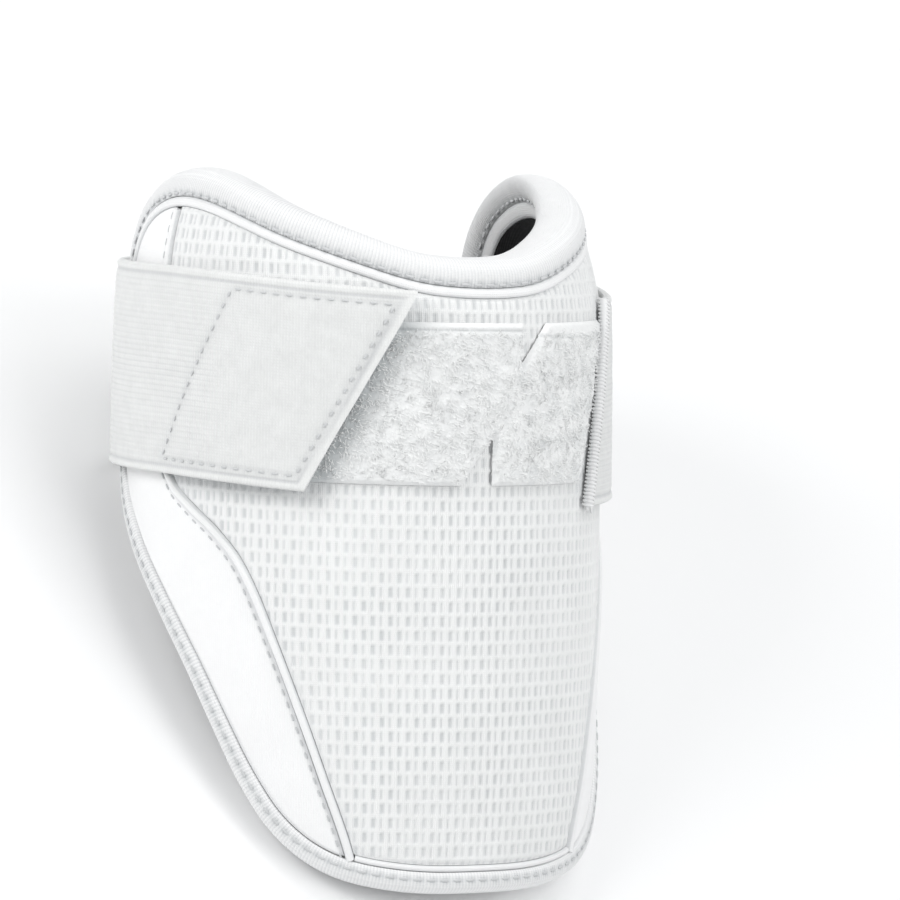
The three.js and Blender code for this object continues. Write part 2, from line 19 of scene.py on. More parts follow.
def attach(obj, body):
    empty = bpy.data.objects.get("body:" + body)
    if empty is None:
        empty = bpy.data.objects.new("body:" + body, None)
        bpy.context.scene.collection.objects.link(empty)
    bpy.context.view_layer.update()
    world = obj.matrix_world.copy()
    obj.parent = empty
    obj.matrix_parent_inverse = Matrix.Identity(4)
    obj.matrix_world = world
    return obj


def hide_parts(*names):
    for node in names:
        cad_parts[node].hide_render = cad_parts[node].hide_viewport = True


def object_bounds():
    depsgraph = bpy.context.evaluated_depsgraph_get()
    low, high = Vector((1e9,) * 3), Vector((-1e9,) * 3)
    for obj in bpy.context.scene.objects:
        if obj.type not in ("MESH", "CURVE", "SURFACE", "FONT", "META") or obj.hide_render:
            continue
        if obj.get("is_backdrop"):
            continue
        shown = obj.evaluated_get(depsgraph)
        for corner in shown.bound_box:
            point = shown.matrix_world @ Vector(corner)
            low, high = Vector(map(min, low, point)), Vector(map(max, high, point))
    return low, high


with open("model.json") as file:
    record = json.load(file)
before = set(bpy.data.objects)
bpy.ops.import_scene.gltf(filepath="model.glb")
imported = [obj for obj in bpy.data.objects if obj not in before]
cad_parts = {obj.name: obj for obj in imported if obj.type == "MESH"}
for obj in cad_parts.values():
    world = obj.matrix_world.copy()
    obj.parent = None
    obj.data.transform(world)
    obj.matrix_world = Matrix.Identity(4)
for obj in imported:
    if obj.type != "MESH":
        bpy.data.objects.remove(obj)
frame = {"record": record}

Array = np.ndarray
Socket = bpy.types.NodeSocket
Place = Callable[[Array, Array, Array], Array]
Layout = tuple[Array, Array, Array]
log = logging.getLogger("elbow_guard")
CAD_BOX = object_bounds()

# The cloth map has one unit for each decimetre of cloth
MAP_UNITS = 10.0

# Gaps between the pieces
GAP = 0.0003
LAYER_GAP = 0.0004

# Direction that no cord runs in, from which the sides of a cord are found
SIDE_HELPER = np.array((0.31, 0.17, 0.94))


class Section(NamedTuple):
    """A section of the body: up in shares of the rim or the foot, the rest in half sizes."""

    up: float
    width: float
    depth: float
    forward: float


class Edge(NamedTuple):
    """A spot of the outline: round in shares of the wrap, up in shares of the rim or foot."""

    round: float
    up: float


class Share(NamedTuple):
    """A share of the wall at a place round the body."""

    round: float
    share: float


class Band(NamedTuple):
    """A section of the strap: rise in shares of its width, edge and stack of a clearance."""

    round: float
    rise: float
    edge: float
    stack: float


class Slant(NamedTuple):
    """The low and the high end of a slanted edge, in shares of the wrap."""

    low: float
    high: float


SECTIONS = (
    Section(-1.1, 0.933, 0.925, 0.17),
    Section(-0.763, 0.975, 0.981, 0.113),
    Section(-0.339, 1, 1, 0.038),
    Section(0, 0.999, 0.984, 0),
    Section(0.388, 0.993, 0.968, -0.019),
    Section(0.563, 0.974, 0.938, -0.038),
    Section(0.738, 0.938, 0.896, -0.057),
    Section(0.913, 0.885, 0.84, -0.068),
    Section(1.068, 0.823, 0.776, -0.075),
)
RIM = tuple(Edge(*row) for row in (
    (0, 0.641), (0.12, 0.66), (0.199, 0.709), (0.295, 0.777), (0.382, 0.839),
    (0.486, 0.92), (0.574, 0.975), (0.669, 1), (0.749, 0.985), (0.829, 0.93),
    (0.892, 0.845), (0.948, 0.7), (0.984, 0.5), (1, 0.25), (1.002, 0.05),
))
FOOT = tuple(Edge(*row) for row in (
    (0.996, -0.14), (0.94, -0.23), (0.829, -0.339), (0.717, -0.453), (0.629, -0.568),
    (0.566, -0.676), (0.502, -0.79), (0.438, -0.879), (0.367, -0.938), (0.287, -0.974),
    (0.159, -0.996), (0, -1),
))
SEAM = tuple(Edge(*row) for row in (
    (0.239, -1.06), (0.271, -0.92), (0.321, -0.771), (0.361, -0.653), (0.418, -0.497),
    (0.457, -0.403), (0.491, -0.343), (0.547, -0.285), (0.602, -0.246), (0.658, -0.203),
    (0.69, -0.144), (0.696, 0), (0.701, 0.97),
))
THICKNESS = (Share(0, 1), Share(0.4, 1), Share(0.717, 0.89), Share(1, 0.74))
STRAP = (
    Band(0.24, -0.038, 0.33, 0),
    Band(0.446, -0.028, 0.67, 0),
    Band(0.717, 0.028, 1, 0),
    Band(0.988, 0.069, 1.33, 0),
    Band(-0.988, 0.069, 1.33, 0),
    Band(-0.669, 0.073, 1.07, 0),
    Band(-0.574, 0.069, 0.5, 0.62),
    Band(-0.478, 0.059, 0, 1.06),
    Band(-0.335, 0.038, 0, 1.12),
    Band(-0.12, 0.014, 0, 1.4),
)
NOTCHES = (
    ((0.088, 0.56), (0.073, 0.23), (0.159, 0.56)),
    ((-0.069, -0.56), (0.011, -0.18), (0.008, -0.56)),
)


def mix(low: Array | float, high: Array | float, share: Array | float) -> Array | float:
    """Value at a share of the way from low to high."""
    return low + (high - low) * share


def pair(first: Array, second: Array) -> Array:
    """Rows of two coordinates."""
    return np.stack([first, second], -1)


def unit(rows: Array) -> Array:
    """Vectors made one long."""
    return rows / np.linalg.norm(rows, axis=-1, keepdims=True)


def ease(value: Array, start: float, end: float) -> Array:
    """Smooth step from 0 at start to 1 at end."""
    share = np.clip((value - start) / (end - start), 0, 1)
    return share * share * (3 - 2 * share)


def bell(distance: Array, width: float) -> Array:
    """Smooth hump that is 1 at distance 0 and fades over a width."""
    return np.exp(-(distance / width) ** 2)


def ripple(across: Array, along: Array, size: float, seed: int) -> Array:
    """Smooth seeded unevenness from -1 to 1.

    Args:
        across: First coordinate of each spot.
        along: Second coordinate of each spot.
        size: Length of the typical swell, in metres.
        seed: Seed of the directions and phases.

    Returns:
        The unevenness of each spot.
    """
    dice = np.random.default_rng(seed)
    total = np.zeros_like(across)
    waves = 9
    for _ in range(waves):
        heading, phase = dice.uniform(0, 2 * math.pi, 2)
        pitch = size * dice.uniform(0.7, 1.9)
        reach = across * math.cos(heading) + along * math.sin(heading)
        total = total + np.sin(2 * math.pi * reach / pitch + phase)
    return total / waves ** 0.5 / 1.6


def read_table(rows: Sequence[tuple], key: str, column: str, at: Array) -> Array:
    """Reads a column of a table by a monotone cubic through its rows.

    Args:
        rows: Rows of the table, which run upwards in the key.
        key: Name of the column that is looked up.
        column: Name of the column that is read.
        at: Values of the key.

    Returns:
        The column's value at each of them.
    """
    x = np.array([getattr(row, key) for row in rows], float)
    y = np.array([getattr(row, column) for row in rows], float)
    at = np.clip(at, x[0], x[-1])
    slope = np.diff(y) / np.diff(x)
    before, after = slope[:-1], slope[1:]
    same = before * after > 0
    inner = np.where(same, 2 * before * after / np.where(same, before + after, 1), 0)
    tangent = np.concatenate([slope[:1], inner, slope[-1:]])
    i = np.clip(np.searchsorted(x, at) - 1, 0, len(x) - 2)
    span = x[i + 1] - x[i]
    t = (at - x[i]) / span
    s = 1 - t
    low = y[i] * (1 + 2 * t) * s * s + span * tangent[i] * t * s * s
    high = y[i + 1] * t * t * (3 - 2 * t) - span * tangent[i + 1] * t * t * s
    return low + high


def glide(ring: Array, at: Array) -> Array:
    """Places on a smooth closed line through a ring of points.

    Args:
        ring: Points of the ring.
        at: Places along it, in points, where a fraction lies between two points.

    Returns:
        One place for each value of at.
    """
    whole = np.floor(at).astype(int)
    t = (at - whole)[:, None]
    a, b, c, d = (ring[(whole + step) % len(ring)] for step in (-1, 0, 1, 2))
    return 0.5 * (2 * b + (c - a) * t + (2 * a - 5 * b + 4 * c - d) * t ** 2
                  + (3 * b - 3 * c + d - a) * t ** 3)


def run_of(line: Array) -> Array:
    """Length of a line up to each of its points."""
    return np.concatenate([[0], np.cumsum(np.linalg.norm(np.diff(line, axis=0), axis=1))])


def length_of(line: Array) -> float:
    """Length of a line of points."""
    return float(run_of(line)[-1])


def read_line(line: Array, at: Array) -> Array:
    """Places on a line of points at lengths along it."""
    run = run_of(line)
    return np.stack([np.interp(at, run, column) for column in line.T], -1)


def spaced(line: Array, count: int) -> Array:
    """Resamples a line at a count of points that lie at equal lengths."""
    return read_line(line, np.linspace(0, length_of(line), count))


def nearest_on(spots: Array, start: Array, end: Array) -> Array:
    """Nearest spots of a straight line between two ends.

    Args:
        spots: Flat spots.
        start: One end of the line.
        end: The other end.

    Returns:
        The spot on the line that is nearest to each of them.
    """
    along = end - start
    share = np.clip(((spots - start) @ along) / (along @ along), 0, 1)
    return start + share[:, None] * along


def line_distance(spots: Array, lines: Sequence[Array]) -> Array:
    """Distance of flat spots from the nearest of some straight lines."""
    return np.min([np.linalg.norm(spots - nearest_on(spots, *line), axis=1) for line in lines], 0)


def outlined(corners: Sequence[Array]) -> list[Array]:
    """Straight lines from each corner of an outline to the next."""
    return [np.stack(ends) for ends in zip(corners, [*corners[1:], corners[0]])]


def beside(line: Array, distance: float) -> Array:
    """Spots at a distance beside each point of a flat line, on its outer side."""
    heading = unit(np.gradient(line, axis=0))
    return line + pair(heading[:, 1], -heading[:, 0]) * distance


@dataclass(frozen=True)
class Body:
    """The guard's surface in its own frame (side, up the arm, out of the front)."""

    half_width: float = 0.060
    half_depth: float = 0.053
    rim_peak: float = 0.0515
    foot_drop: float = 0.118
    wrap: float = 125.5
    wall: float = 0.009
    cover: float = 0.0016
    lining: float = 0.0012
    outline_points: int = 104
    curve_points: int = 40
    seam_samples: int = 600

    @cached_property
    def laid(self) -> tuple[Array, Array]:
        """Turn and shift that lay the guard's own frame down as it rests."""
        mount = frame["record"]["mounts"][0]
        tilt = math.atan2(mount["axis"][2], mount["axis"][1])
        return np.array(Matrix.Rotation(tilt, 3, "X")), np.array(mount["pos_m"])

    @property
    def per_degree(self) -> float:
        """Metres along the surface for each degree of turn."""
        return math.radians((self.half_width + self.half_depth) / 2)

    def to_row(self, own: Array) -> Array:
        """Points of the guard's own frame where they lie at rest."""
        turn, shift = self.laid
        return own @ turn.T + shift

    def up_of(self, y: Array) -> Array:
        """Height as a share of the rim's peak or of the foot's drop."""
        return y / np.where(y < 0, self.foot_drop, self.rim_peak)

    def height_of(self, up: float) -> float:
        """Height of a share of the rim's peak or of the foot's drop."""
        return up * (self.foot_drop if up < 0 else self.rim_peak)

    def round_of(self, share: Array | float) -> Array | float:
        """Flat distance round of a share of the wrap."""
        return share * self.wrap * self.per_degree

    def own_point(self, angle: Array, y: Array, off: Array) -> Array:
        """Points of the surface in the guard's own frame.

        Args:
            angle: Turn from the front, in degrees.
            y: Height up the arm.
            off: Distance outwards from the surface.

        Returns:
            The points, one row each.
        """
        up = self.up_of(y)
        width = self.half_width * read_table(SECTIONS, "up", "width", up) + off
        depth = self.half_depth * read_table(SECTIONS, "up", "depth", up) + off
        forward = self.half_depth * read_table(SECTIONS, "up", "forward", up)
        turn = np.radians(angle)
        return np.stack([width * np.sin(turn), y + 0 * turn, forward + depth * np.cos(turn)], -1)

    def point(self, angle: Array, y: Array, off: Array) -> Array:
        """Points of the surface where they lie at rest."""
        return self.to_row(self.own_point(angle, y, off))

    def on_flat(self, across: Array, y: Array, off: Array) -> Array:
        """Points at a distance round the surface, given in metres, where they lie at rest."""
        return self.point(across / self.per_degree, y, off)

    def wall_at(self, across: Array) -> Array:
        """Thickness of the wall at flat distances round."""
        share = np.abs(across / self.per_degree) / self.wrap
        return self.wall * read_table(THICKNESS, "round", "share", share)

    def seam_at(self, y: Array) -> Array:
        """Flat distance round of the seam between the mesh and a wing at heights."""
        return self.round_of(read_table(SEAM, "up", "round", self.up_of(y)))

    @cached_property
    def outline(self) -> Array:
        """Closed outline on the flattened surface, right half first, from the front dip."""
        right = np.array([(self.round_of(row.round), self.height_of(row.up))
                          for row in (*RIM, *FOOT)])
        ring = np.concatenate([right, right[1:-1][::-1] * (-1, 1)])
        curves = [self._curve(np.roll(ring, 1 - k, 0)[:4]) for k in range(len(ring))]
        line = np.concatenate([*curves, ring[:1]])
        return spaced(line, self.outline_points + 1)[:-1]

    def _curve(self, spots: Array) -> Array:
        """Centripetal curve between the inner two of four spots.

        Args:
            spots: The four spots, in order.

        Returns:
            The points of the curve, without its last one.
        """
        a, b, c, d = spots
        first, mid, last = (math.sqrt(math.dist(p, q)) for p, q in ((a, b), (b, c), (c, d)))
        leave = ((b - a) / first - (c - a) / (first + mid) + (c - b) / mid) * mid
        meet = ((c - b) / mid - (d - b) / (mid + last) + (d - c) / last) * mid
        t = (np.arange(self.curve_points) / self.curve_points)[:, None]
        return (b + leave * t + (3 * (c - b) - 2 * leave - meet) * t ** 2
                + (2 * (b - c) + leave + meet) * t ** 3)

    @cached_property
    def tip(self) -> int:
        """Outline points from the front dip to the tip of one wing."""
        return int(np.argmax(self.outline[:, 0]))

    @property
    def spacing(self) -> float:
        """Metres between two outline points."""
        return float(np.linalg.norm(self.outline[1] - self.outline[0]))

    @cached_property
    def inward(self) -> Array:
        """Direction inwards at each outline point."""
        along = unit(np.roll(self.outline, -1, 0) - np.roll(self.outline, 1, 0))
        return pair(along[:, 1], -along[:, 0])

    def ring(self, distance: Array | float) -> Array:
        """Outline points moved inwards by a distance, one for all or one each."""
        return self.outline + self.inward * np.reshape(distance, (-1, 1))

    def trimmed(self, rim: float, foot: float) -> Array:
        """Ring inside the outline.

        Args:
            rim: Its distance from the outline at the rim.
            foot: Its distance from the outline at the foot.

        Returns:
            The points of the ring.
        """
        at = np.arange(self.outline_points)
        on_rim = (at <= self.tip) | (at >= self.outline_points - self.tip)
        return self.ring(np.where(on_rim, rim, foot))

    def inside(self, at: Array, distance: Array) -> Array:
        """Places inside the outline, as flat distances round and heights.

        Args:
            at: Places along the outline, in outline points.
            distance: Distance inside the outline for each of them.

        Returns:
            The flat places, one row each.
        """
        return glide(self.outline, at) + glide(self.inward, at) * distance[:, None]

    def column_span(self, ring: Array, across: Array) -> tuple[Array, Array]:
        """Lowest and highest crossing of a ring.

        Args:
            ring: Points of the ring.
            across: Flat distances round.

        Returns:
            The height of the lower and of the upper crossing at each of them.
        """
        fine = glide(ring, np.linspace(0, len(ring), len(ring) * 12, endpoint=False))
        x, y = fine[:, 0], fine[:, 1]
        half = slice(int(np.argmax(x)), int(np.argmin(x)) + 1)
        low = np.interp(across, x[half][::-1], y[half][::-1])
        upper = np.concatenate([fine[half.stop - 1:], fine[:half.start + 1]])
        high = np.interp(across, upper[:, 0], upper[:, 1])
        return low, high

    def row_reach(self, ring: Array, y: Array) -> Array:
        """Widest flat distance of a ring's right half.

        Args:
            ring: Points of the ring.
            y: Heights.

        Returns:
            The distance at each of them.
        """
        fine = glide(ring, np.linspace(0, len(ring) / 2, len(ring) * 6))
        levels = np.unique(y)
        start, end = fine[:-1], fine[1:]
        rise = end[:, 1] - start[:, 1]
        share = (levels[:, None] - start[:, 1]) / np.where(rise == 0, 1, rise)
        crossed = (share >= 0) & (share <= 1) & (rise != 0)
        reach = np.where(crossed, mix(start[:, 0], end[:, 0], share), 0).max(1)
        return np.interp(y, levels, reach)

    def seam_heights(
        self, passes: Callable[[Array], Array], count: int,
        second: Callable[[Array], Array] | None = None,
    ) -> Array:
        """Heights evenly spaced along the seam, and along a second edge if one is given.

        Args:
            passes: Tells which heights count.
            count: Number of spaces between the heights.
            second: Flat distance of the second edge at heights.

        Returns:
            The heights.
        """
        y = np.linspace(-self.foot_drop, self.rim_peak, 2 * self.seam_samples + 1)
        within = y[passes(y)]
        y = np.linspace(within.min(), within.max(), self.seam_samples + 1)
        side = second(y) if second else 0 * y
        return spaced(np.stack([self.seam_at(y), y, side], -1), count + 1)[:, 1]

    def seam_gap(self, y: Array) -> Array:
        """Half the piping and its gap, measured level, where the seam runs at a slant."""
        step = 0.001
        tilt = (self.seam_at(y + step) - self.seam_at(y - step)) / (2 * step)
        return (TRIM.piping / 2 + 0.6 * LAYER_GAP) * np.hypot(1, tilt)


BODY = Body()


@dataclass(frozen=True)
class Trim:
    """Widths of the bindings, bands and piping, measured from the outline inwards."""

    top_binding: float = 0.0068
    lower_binding: float = 0.0054
    bulge: float = 0.0012
    web: float = 0.0024
    band: float = 0.002
    band_proud: float = 0.0005
    piping: float = 0.0019
    piping_proud: float = 0.0008
    foot_piping: float = 0.0011
    foot_piping_proud: float = 0.0004
    tape: float = 0.0032
    tape_thick: float = 0.0014

    @property
    def band_start(self) -> float:
        """Where the band starts, below the upper binding."""
        return self.top_binding + GAP

    @property
    def rim_reserve(self) -> float:
        """Room that the binding and the band take at the rim."""
        return self.band_start + self.band + GAP

    @property
    def foot_reserve(self) -> float:
        """Room that the lower binding takes."""
        return self.lower_binding + GAP

    @property
    def foot_piping_end(self) -> float:
        """Room that the lower binding and its piping take."""
        return self.foot_reserve + self.foot_piping + GAP

    @property
    def tape_end(self) -> float:
        """Room that the binding and the tape take inside the rim."""
        return self.band_start + self.tape


TRIM = Trim()


@dataclass(frozen=True)
class StrapPath:
    """The way of the strap round the guard and its own sizes."""

    width: float = 0.0495
    thick: float = 0.002
    slack: float = 0.005
    corner: float = 0.003
    patch_thick: float = 0.0014
    hook_thick: float = 0.001
    slant_fade: float = 0.37
    start: Slant = Slant(0.291, 0.414)
    end: Slant = Slant(-0.349, -0.15)
    hook_start: Slant = Slant(-0.657, -0.486)

    def turn_of(self, round_share: float) -> float:
        """Turn of a share of the wrap, on from the right front round the back."""
        return (360 if round_share < 0 else 0) + round_share * BODY.wrap

    @cached_property
    def bands(self) -> list[Band]:
        """The strap's table with turns in the place of shares of the wrap."""
        return [row._replace(round=self.turn_of(row.round)) for row in STRAP]

    def read(self, column: str, turn: Array) -> Array:
        """A column of the strap's table at turns."""
        return read_table(self.bands, "round", column, turn)

    def lift(self, turn: Array) -> Array:
        """Gap under the strap at a turn."""
        over_edge = TRIM.bulge + GAP
        over_patch = self.patch_thick + self.hook_thick + 3 * GAP
        return over_edge * self.read("edge", turn) + over_patch * self.read("stack", turn)

    def height(self, turn: Array, across: Array) -> Array:
        """Height of a share of the strap's width at a turn."""
        return (self.read("rise", turn) + across - 0.5) * self.width

    @cached_property
    def back(self) -> float:
        """How far behind the middle the strap runs straight."""
        edge = BODY.own_point(np.array([BODY.wrap]), np.zeros(1), np.array([TRIM.bulge]))
        return self.slack - float(edge[0, 2])

    def point(self, turn: Array, across: Array, off: Array) -> Array:
        """Points of the strap.

        Args:
            turn: Turn of each point.
            across: Its share of the strap's width.
            off: Its offset over the body.

        Returns:
            The points, one row each.
        """
        own = BODY.own_point(turn, self.height(turn, across), off)
        flat = -self.back - off
        straight = (own[:, 2] + flat + np.hypot(own[:, 2] - flat, self.corner)) / 2
        own[:, 2] = np.where(own[:, 2] > 0, own[:, 2], straight)
        return BODY.to_row(own)

    def lean(self, slant: Slant) -> float:
        """Degrees between the low and the high end of a slant."""
        return (slant.high - slant.low) * BODY.wrap

    def middle(self, slant: Slant) -> float:
        """Turn of the middle of a slant."""
        return self.turn_of((slant.low + slant.high) / 2)

    def slanted(self, turn: Array, across: Array, ends: tuple[Slant, Slant]) -> Array:
        """Turns that lean with the two ends, and less the further from them.

        Args:
            turn: Turn of each point at the middle of the width.
            across: Its share of the strap's width.
            ends: The two slanted ends.

        Returns:
            The leaning turns.
        """
        total = turn
        for slant in ends:
            gap = np.abs(turn - self.middle(slant))
            near = np.maximum(0, 1 - gap / (BODY.wrap * self.slant_fade))
            total = total + self.lean(slant) * (across - 0.5) * near
        return total


STRAP_PATH = StrapPath()


def select_only(piece: bpy.types.Object) -> None:
    """Makes one piece the only selected and the active one."""
    bpy.ops.object.select_all(action="DESELECT")
    piece.select_set(True)
    bpy.context.view_layer.objects.active = piece


def edit(piece: bpy.types.Object, *steps: Callable[[], object]) -> None:
    """Runs edit mode steps on the whole of one piece.

    Args:
        piece: The piece.
        steps: Calls to make in edit mode, each with everything selected before it.
    """
    select_only(piece)
    bpy.ops.object.mode_set(mode="EDIT")
    for step in steps:
        bpy.ops.mesh.select_all(action="SELECT")
        step()
    bpy.ops.object.mode_set(mode="OBJECT")


def weld() -> None:
    """Merges the doubles of the selected mesh."""
    bpy.ops.mesh.remove_doubles(threshold=1e-6)


def close_ends() -> None:
    """Fills the open ends of the selected mesh."""
    bpy.ops.mesh.select_all(action="DESELECT")
    bpy.ops.mesh.select_non_manifold(extend=False)
    bpy.ops.mesh.fill_holes(sides=0)


def face_out() -> None:
    """Turns the faces of the selected closed mesh outwards."""
    bpy.ops.mesh.normals_make_consistent(inside=False)


def smooth(piece: bpy.types.Object, angle: float = 50.0) -> None:
    """Shades a piece smooth up to an angle in degrees."""
    select_only(piece)
    bpy.ops.object.shade_smooth_by_angle(angle=math.radians(angle))


def apply(piece: bpy.types.Object, kind: str, **settings: object) -> None:
    """Adds a modifier and applies it.

    Args:
        piece: The piece.
        kind: Blender's name for the modifier.
        settings: Its settings.
    """
    select_only(piece)
    modifier = piece.modifiers.new(kind.lower(), kind)
    for key, value in settings.items():
        setattr(modifier, key, value)
    bpy.ops.object.modifier_apply(modifier=modifier.name)


class Cloth:
    """A flat grid of cloth that is laid in place vertex by vertex."""

    def __init__(self, name: str, columns: int, rows: int) -> None:
        """Adds the flat grid.

        Args:
            name: Name of the piece.
            columns: Faces across.
            rows: Faces up.
        """
        bpy.ops.object.select_all(action="DESELECT")
        bpy.ops.mesh.primitive_grid_add(x_subdivisions=columns, y_subdivisions=rows, size=1)
        self.piece = bpy.context.object
        self.piece.name = self.piece.data.name = name
        places = self.places()
        self.u = places[:, 0] + 0.5
        self.v = places[:, 1] + 0.5

    def places(self) -> Array:
        """Place of each vertex."""
        places = np.empty(len(self.piece.data.vertices) * 3, np.float32)
        self.piece.data.vertices.foreach_get("co", places)
        return places.reshape(-1, 3).astype(float)

    def lay(self, points: Array, flat: Array, hollow: Array | None = None) -> None:
        """Moves the vertices into place.

        Args:
            points: Place of each vertex.
            flat: Place of each vertex on the flat cloth, in metres.
            hollow: How deep each vertex lies in a groove, from 0 to 1, which the material paints as
                shade; it also carries the strap's painted shadow and the pile's random tone.
        """
        mesh = self.piece.data
        self.move(points)
        layer = mesh.uv_layers.active or mesh.uv_layers.new()
        layer.name = "cloth"
        values = (flat * MAP_UNITS).astype(np.float32)[self.corners()]
        layer.uv.foreach_set("vector", values.ravel())
        depth = np.zeros(len(points)) if hollow is None else hollow
        attribute = mesh.attributes.new("hollow", "FLOAT", "POINT")
        attribute.data.foreach_set("value", depth.astype(np.float32))

    def move(self, points: Array) -> None:
        """Moves each vertex to its point."""
        self.piece.data.vertices.foreach_set("co", points.astype(np.float32).ravel())
        self.piece.data.update()

    def corners(self) -> Array:
        """Vertex at each corner of the faces."""
        corners = np.empty(len(self.piece.data.loops), np.int32)
        self.piece.data.loops.foreach_get("vertex_index", corners)
        return corners

    def weigh(self, name: str, weights: Array) -> None:
        """Adds a vertex group with a weight for each vertex."""
        group = self.piece.vertex_groups.new(name=name)
        for index, weight in enumerate(weights):
            group.add([index], float(weight), "REPLACE")

    def keep_faces(self, inside: Array) -> None:
        """Deletes the faces that have no vertex inside.

        Args:
            inside: Whether each vertex is inside.
        """
        kept = inside[self.corners().reshape(-1, 4)].any(1)
        select_only(self.piece)
        bpy.context.tool_settings.mesh_select_mode = (False, False, True)
        self.piece.data.polygons.foreach_set("select", ~kept)
        bpy.ops.object.mode_set(mode="EDIT")
        bpy.ops.mesh.delete(type="FACE")
        bpy.ops.object.mode_set(mode="OBJECT")
        bpy.context.tool_settings.mesh_select_mode = (True, False, False)

    def cut(self) -> tuple[tuple[float, float], float]:
        """Measures the flat cut, in metres.

        Returns:
            Its width and its length along its own long direction, and its area.
        """
        layer = np.empty(len(self.piece.data.loops) * 2, np.float32)
        self.piece.data.uv_layers["cloth"].uv.foreach_get("vector", layer)
        spots = layer.reshape(-1, 2).astype(float) / MAP_UNITS
        faces = spots.reshape(-1, 4, 2)
        ahead = np.roll(faces, -1, 1)
        cross = faces[..., 0] * ahead[..., 1] - faces[..., 1] * ahead[..., 0]
        area = float(np.abs(cross.sum(1) / 2).sum())
        _, own = np.linalg.eigh(np.cov(spots.T))
        width, length = (float(value) for value in np.ptp(spots @ own, axis=0))
        return (width, length), min(area, width * length)


def tube(name: str, columns: int, profile: Array, place: Callable[[Array, Array], Layout]) -> Cloth:
    """A closed length of trim: a profile carried along a line.

    Args:
        name: Name of the piece.
        columns: Faces along its length.
        profile: Rows of the closed profile.
        place: Gives points, flat places and hollows from u and the profile's rows.

    Returns:
        The cloth, closed at both ends.
    """
    cloth = Cloth(name, columns, len(profile))
    at = np.rint(cloth.v * len(profile)).astype(int) % len(profile)
    cloth.lay(*place(cloth.u, profile[at]))
    edit(cloth.piece, weld, close_ends, face_out)
    smooth(cloth.piece)
    return cloth


def rounded(profile: Sequence[tuple[float, ...]], parts: int, until: int = 0) -> Array:
    """Closed profile drawn smoothly through its corners.

    Args:
        profile: Corners of the profile.
        parts: Points from one corner to the next.
        until: Corner up to which that holds, with single points from there on, or 0 for all.

    Returns:
        The points of the profile.
    """
    ring = np.array(profile, float)
    fine = until or len(ring)
    at = np.concatenate([np.arange(fine * parts) / parts, np.arange(fine, len(ring))])
    return glide(ring, at)


def swept(name: str, lines: Sequence[Array], radius: float, sides: int) -> bpy.types.Object:
    """Cords of one radius along lines of points, as one piece.

    Args:
        name: Name of the piece.
        lines: The lines, each with the same number of points.
        radius: Radius of the cord.
        sides: Sides of the cord.

    Returns:
        The piece.
    """
    path = np.stack(lines)
    along = unit(np.gradient(path, axis=1))
    side = unit(np.cross(along, SIDE_HELPER))
    other = np.cross(along, side)
    turn = np.arange(sides) / sides * 2 * math.pi
    rings = path[:, :, None] + radius * (
        side[:, :, None] * np.cos(turn)[:, None] + other[:, :, None] * np.sin(turn)[:, None])
    count, points = path.shape[:2]
    base = np.arange(count)[:, None, None] * points * sides
    row = np.arange(points - 1)[None, :, None] * sides
    step = np.arange(sides)[None, None, :]
    after = (step + 1) % sides
    quads = np.stack(np.broadcast_arrays(
        base + row + step, base + row + after,
        base + row + sides + after, base + row + sides + step), -1).reshape(-1, 4)
    first = base[:, 0] + np.arange(sides)[None, ::-1]
    last = base[:, 0] + (points - 1) * sides + np.arange(sides)[None, :]
    faces = [*quads.tolist(), *first.tolist(), *last.tolist()]
    return loose_piece(name, rings.reshape(-1, 3), faces)


def loose_piece(name: str, points: Array, faces: list) -> bpy.types.Object:
    """A piece from many small alike shapes.

    Args:
        name: Name of the piece.
        points: Its vertices.
        faces: Its faces.

    Returns:
        The piece, with its faces turned outwards.
    """
    mesh = bpy.data.meshes.new(name)
    mesh.from_pydata(points.tolist(), [], faces)
    piece = bpy.data.objects.new(name, mesh)
    bpy.context.scene.collection.objects.link(piece)
    edit(piece, face_out)
    smooth(piece, 80.0)
    return piece


@dataclass(frozen=True)
class Thread:
    """A row of stitches."""

    pitch: float
    length: float
    width: float
    height: float = 0.0004
    bluntness: float = 0.7

    @cached_property
    def template(self) -> tuple[Array, list]:
        """One stitch as a small rounded body.

        Returns:
            Its vertices and its faces.
        """
        bpy.ops.object.select_all(action="DESELECT")
        bpy.ops.mesh.primitive_uv_sphere_add(segments=8, ring_count=6, radius=0.5)
        ball = bpy.context.object
        turned = np.array([vertex.co for vertex in ball.data.vertices])[:, (2, 0, 1)]
        faces = [list(face.vertices) for face in ball.data.polygons]
        bpy.data.objects.remove(ball)
        bulk = np.abs(turned * 2) ** self.bluntness * np.sign(turned) / 2
        return bulk * (self.length, self.width, self.height), faces

    def row(self, line: Array) -> tuple[Array, Array]:
        """Spaces stitches evenly along a flat line.

        Args:
            line: Points of the line.

        Returns:
            The middle and the heading of each stitch.
        """
        count = max(1, int(length_of(line) / self.pitch))
        at = (np.arange(count) + 0.5) * length_of(line) / count
        step = 0.0004
        return read_line(line, at), unit(read_line(line, at + step) - read_line(line, at - step))

    def sew(self, name: str, rows: Sequence[tuple[Array, Place, float]]) -> bpy.types.Object:
        """Sews rows of stitches as one piece.

        Args:
            name: Name of the piece.
            rows: Flat line, placing function and offset of each row.

        Returns:
            The piece.
        """
        shape, faces = self.template
        parts: list[Array] = []
        for line, place, off in rows:
            middle, heading = self.row(line)
            aside = pair(-heading[:, 1], heading[:, 0])
            spots = (middle[:, None] + heading[:, None] * shape[:, :1]
                     + aside[:, None] * shape[:, 1:2]).reshape(-1, 2)
            offs = np.tile(off + shape[:, 2], len(middle))
            parts.append(place(spots[:, 0], spots[:, 1], offs))
        points = np.concatenate(parts)
        starts = range(0, len(points), len(shape))
        all_faces = [[start + index for index in face] for start in starts for face in faces]
        return loose_piece(name, points, all_faces)


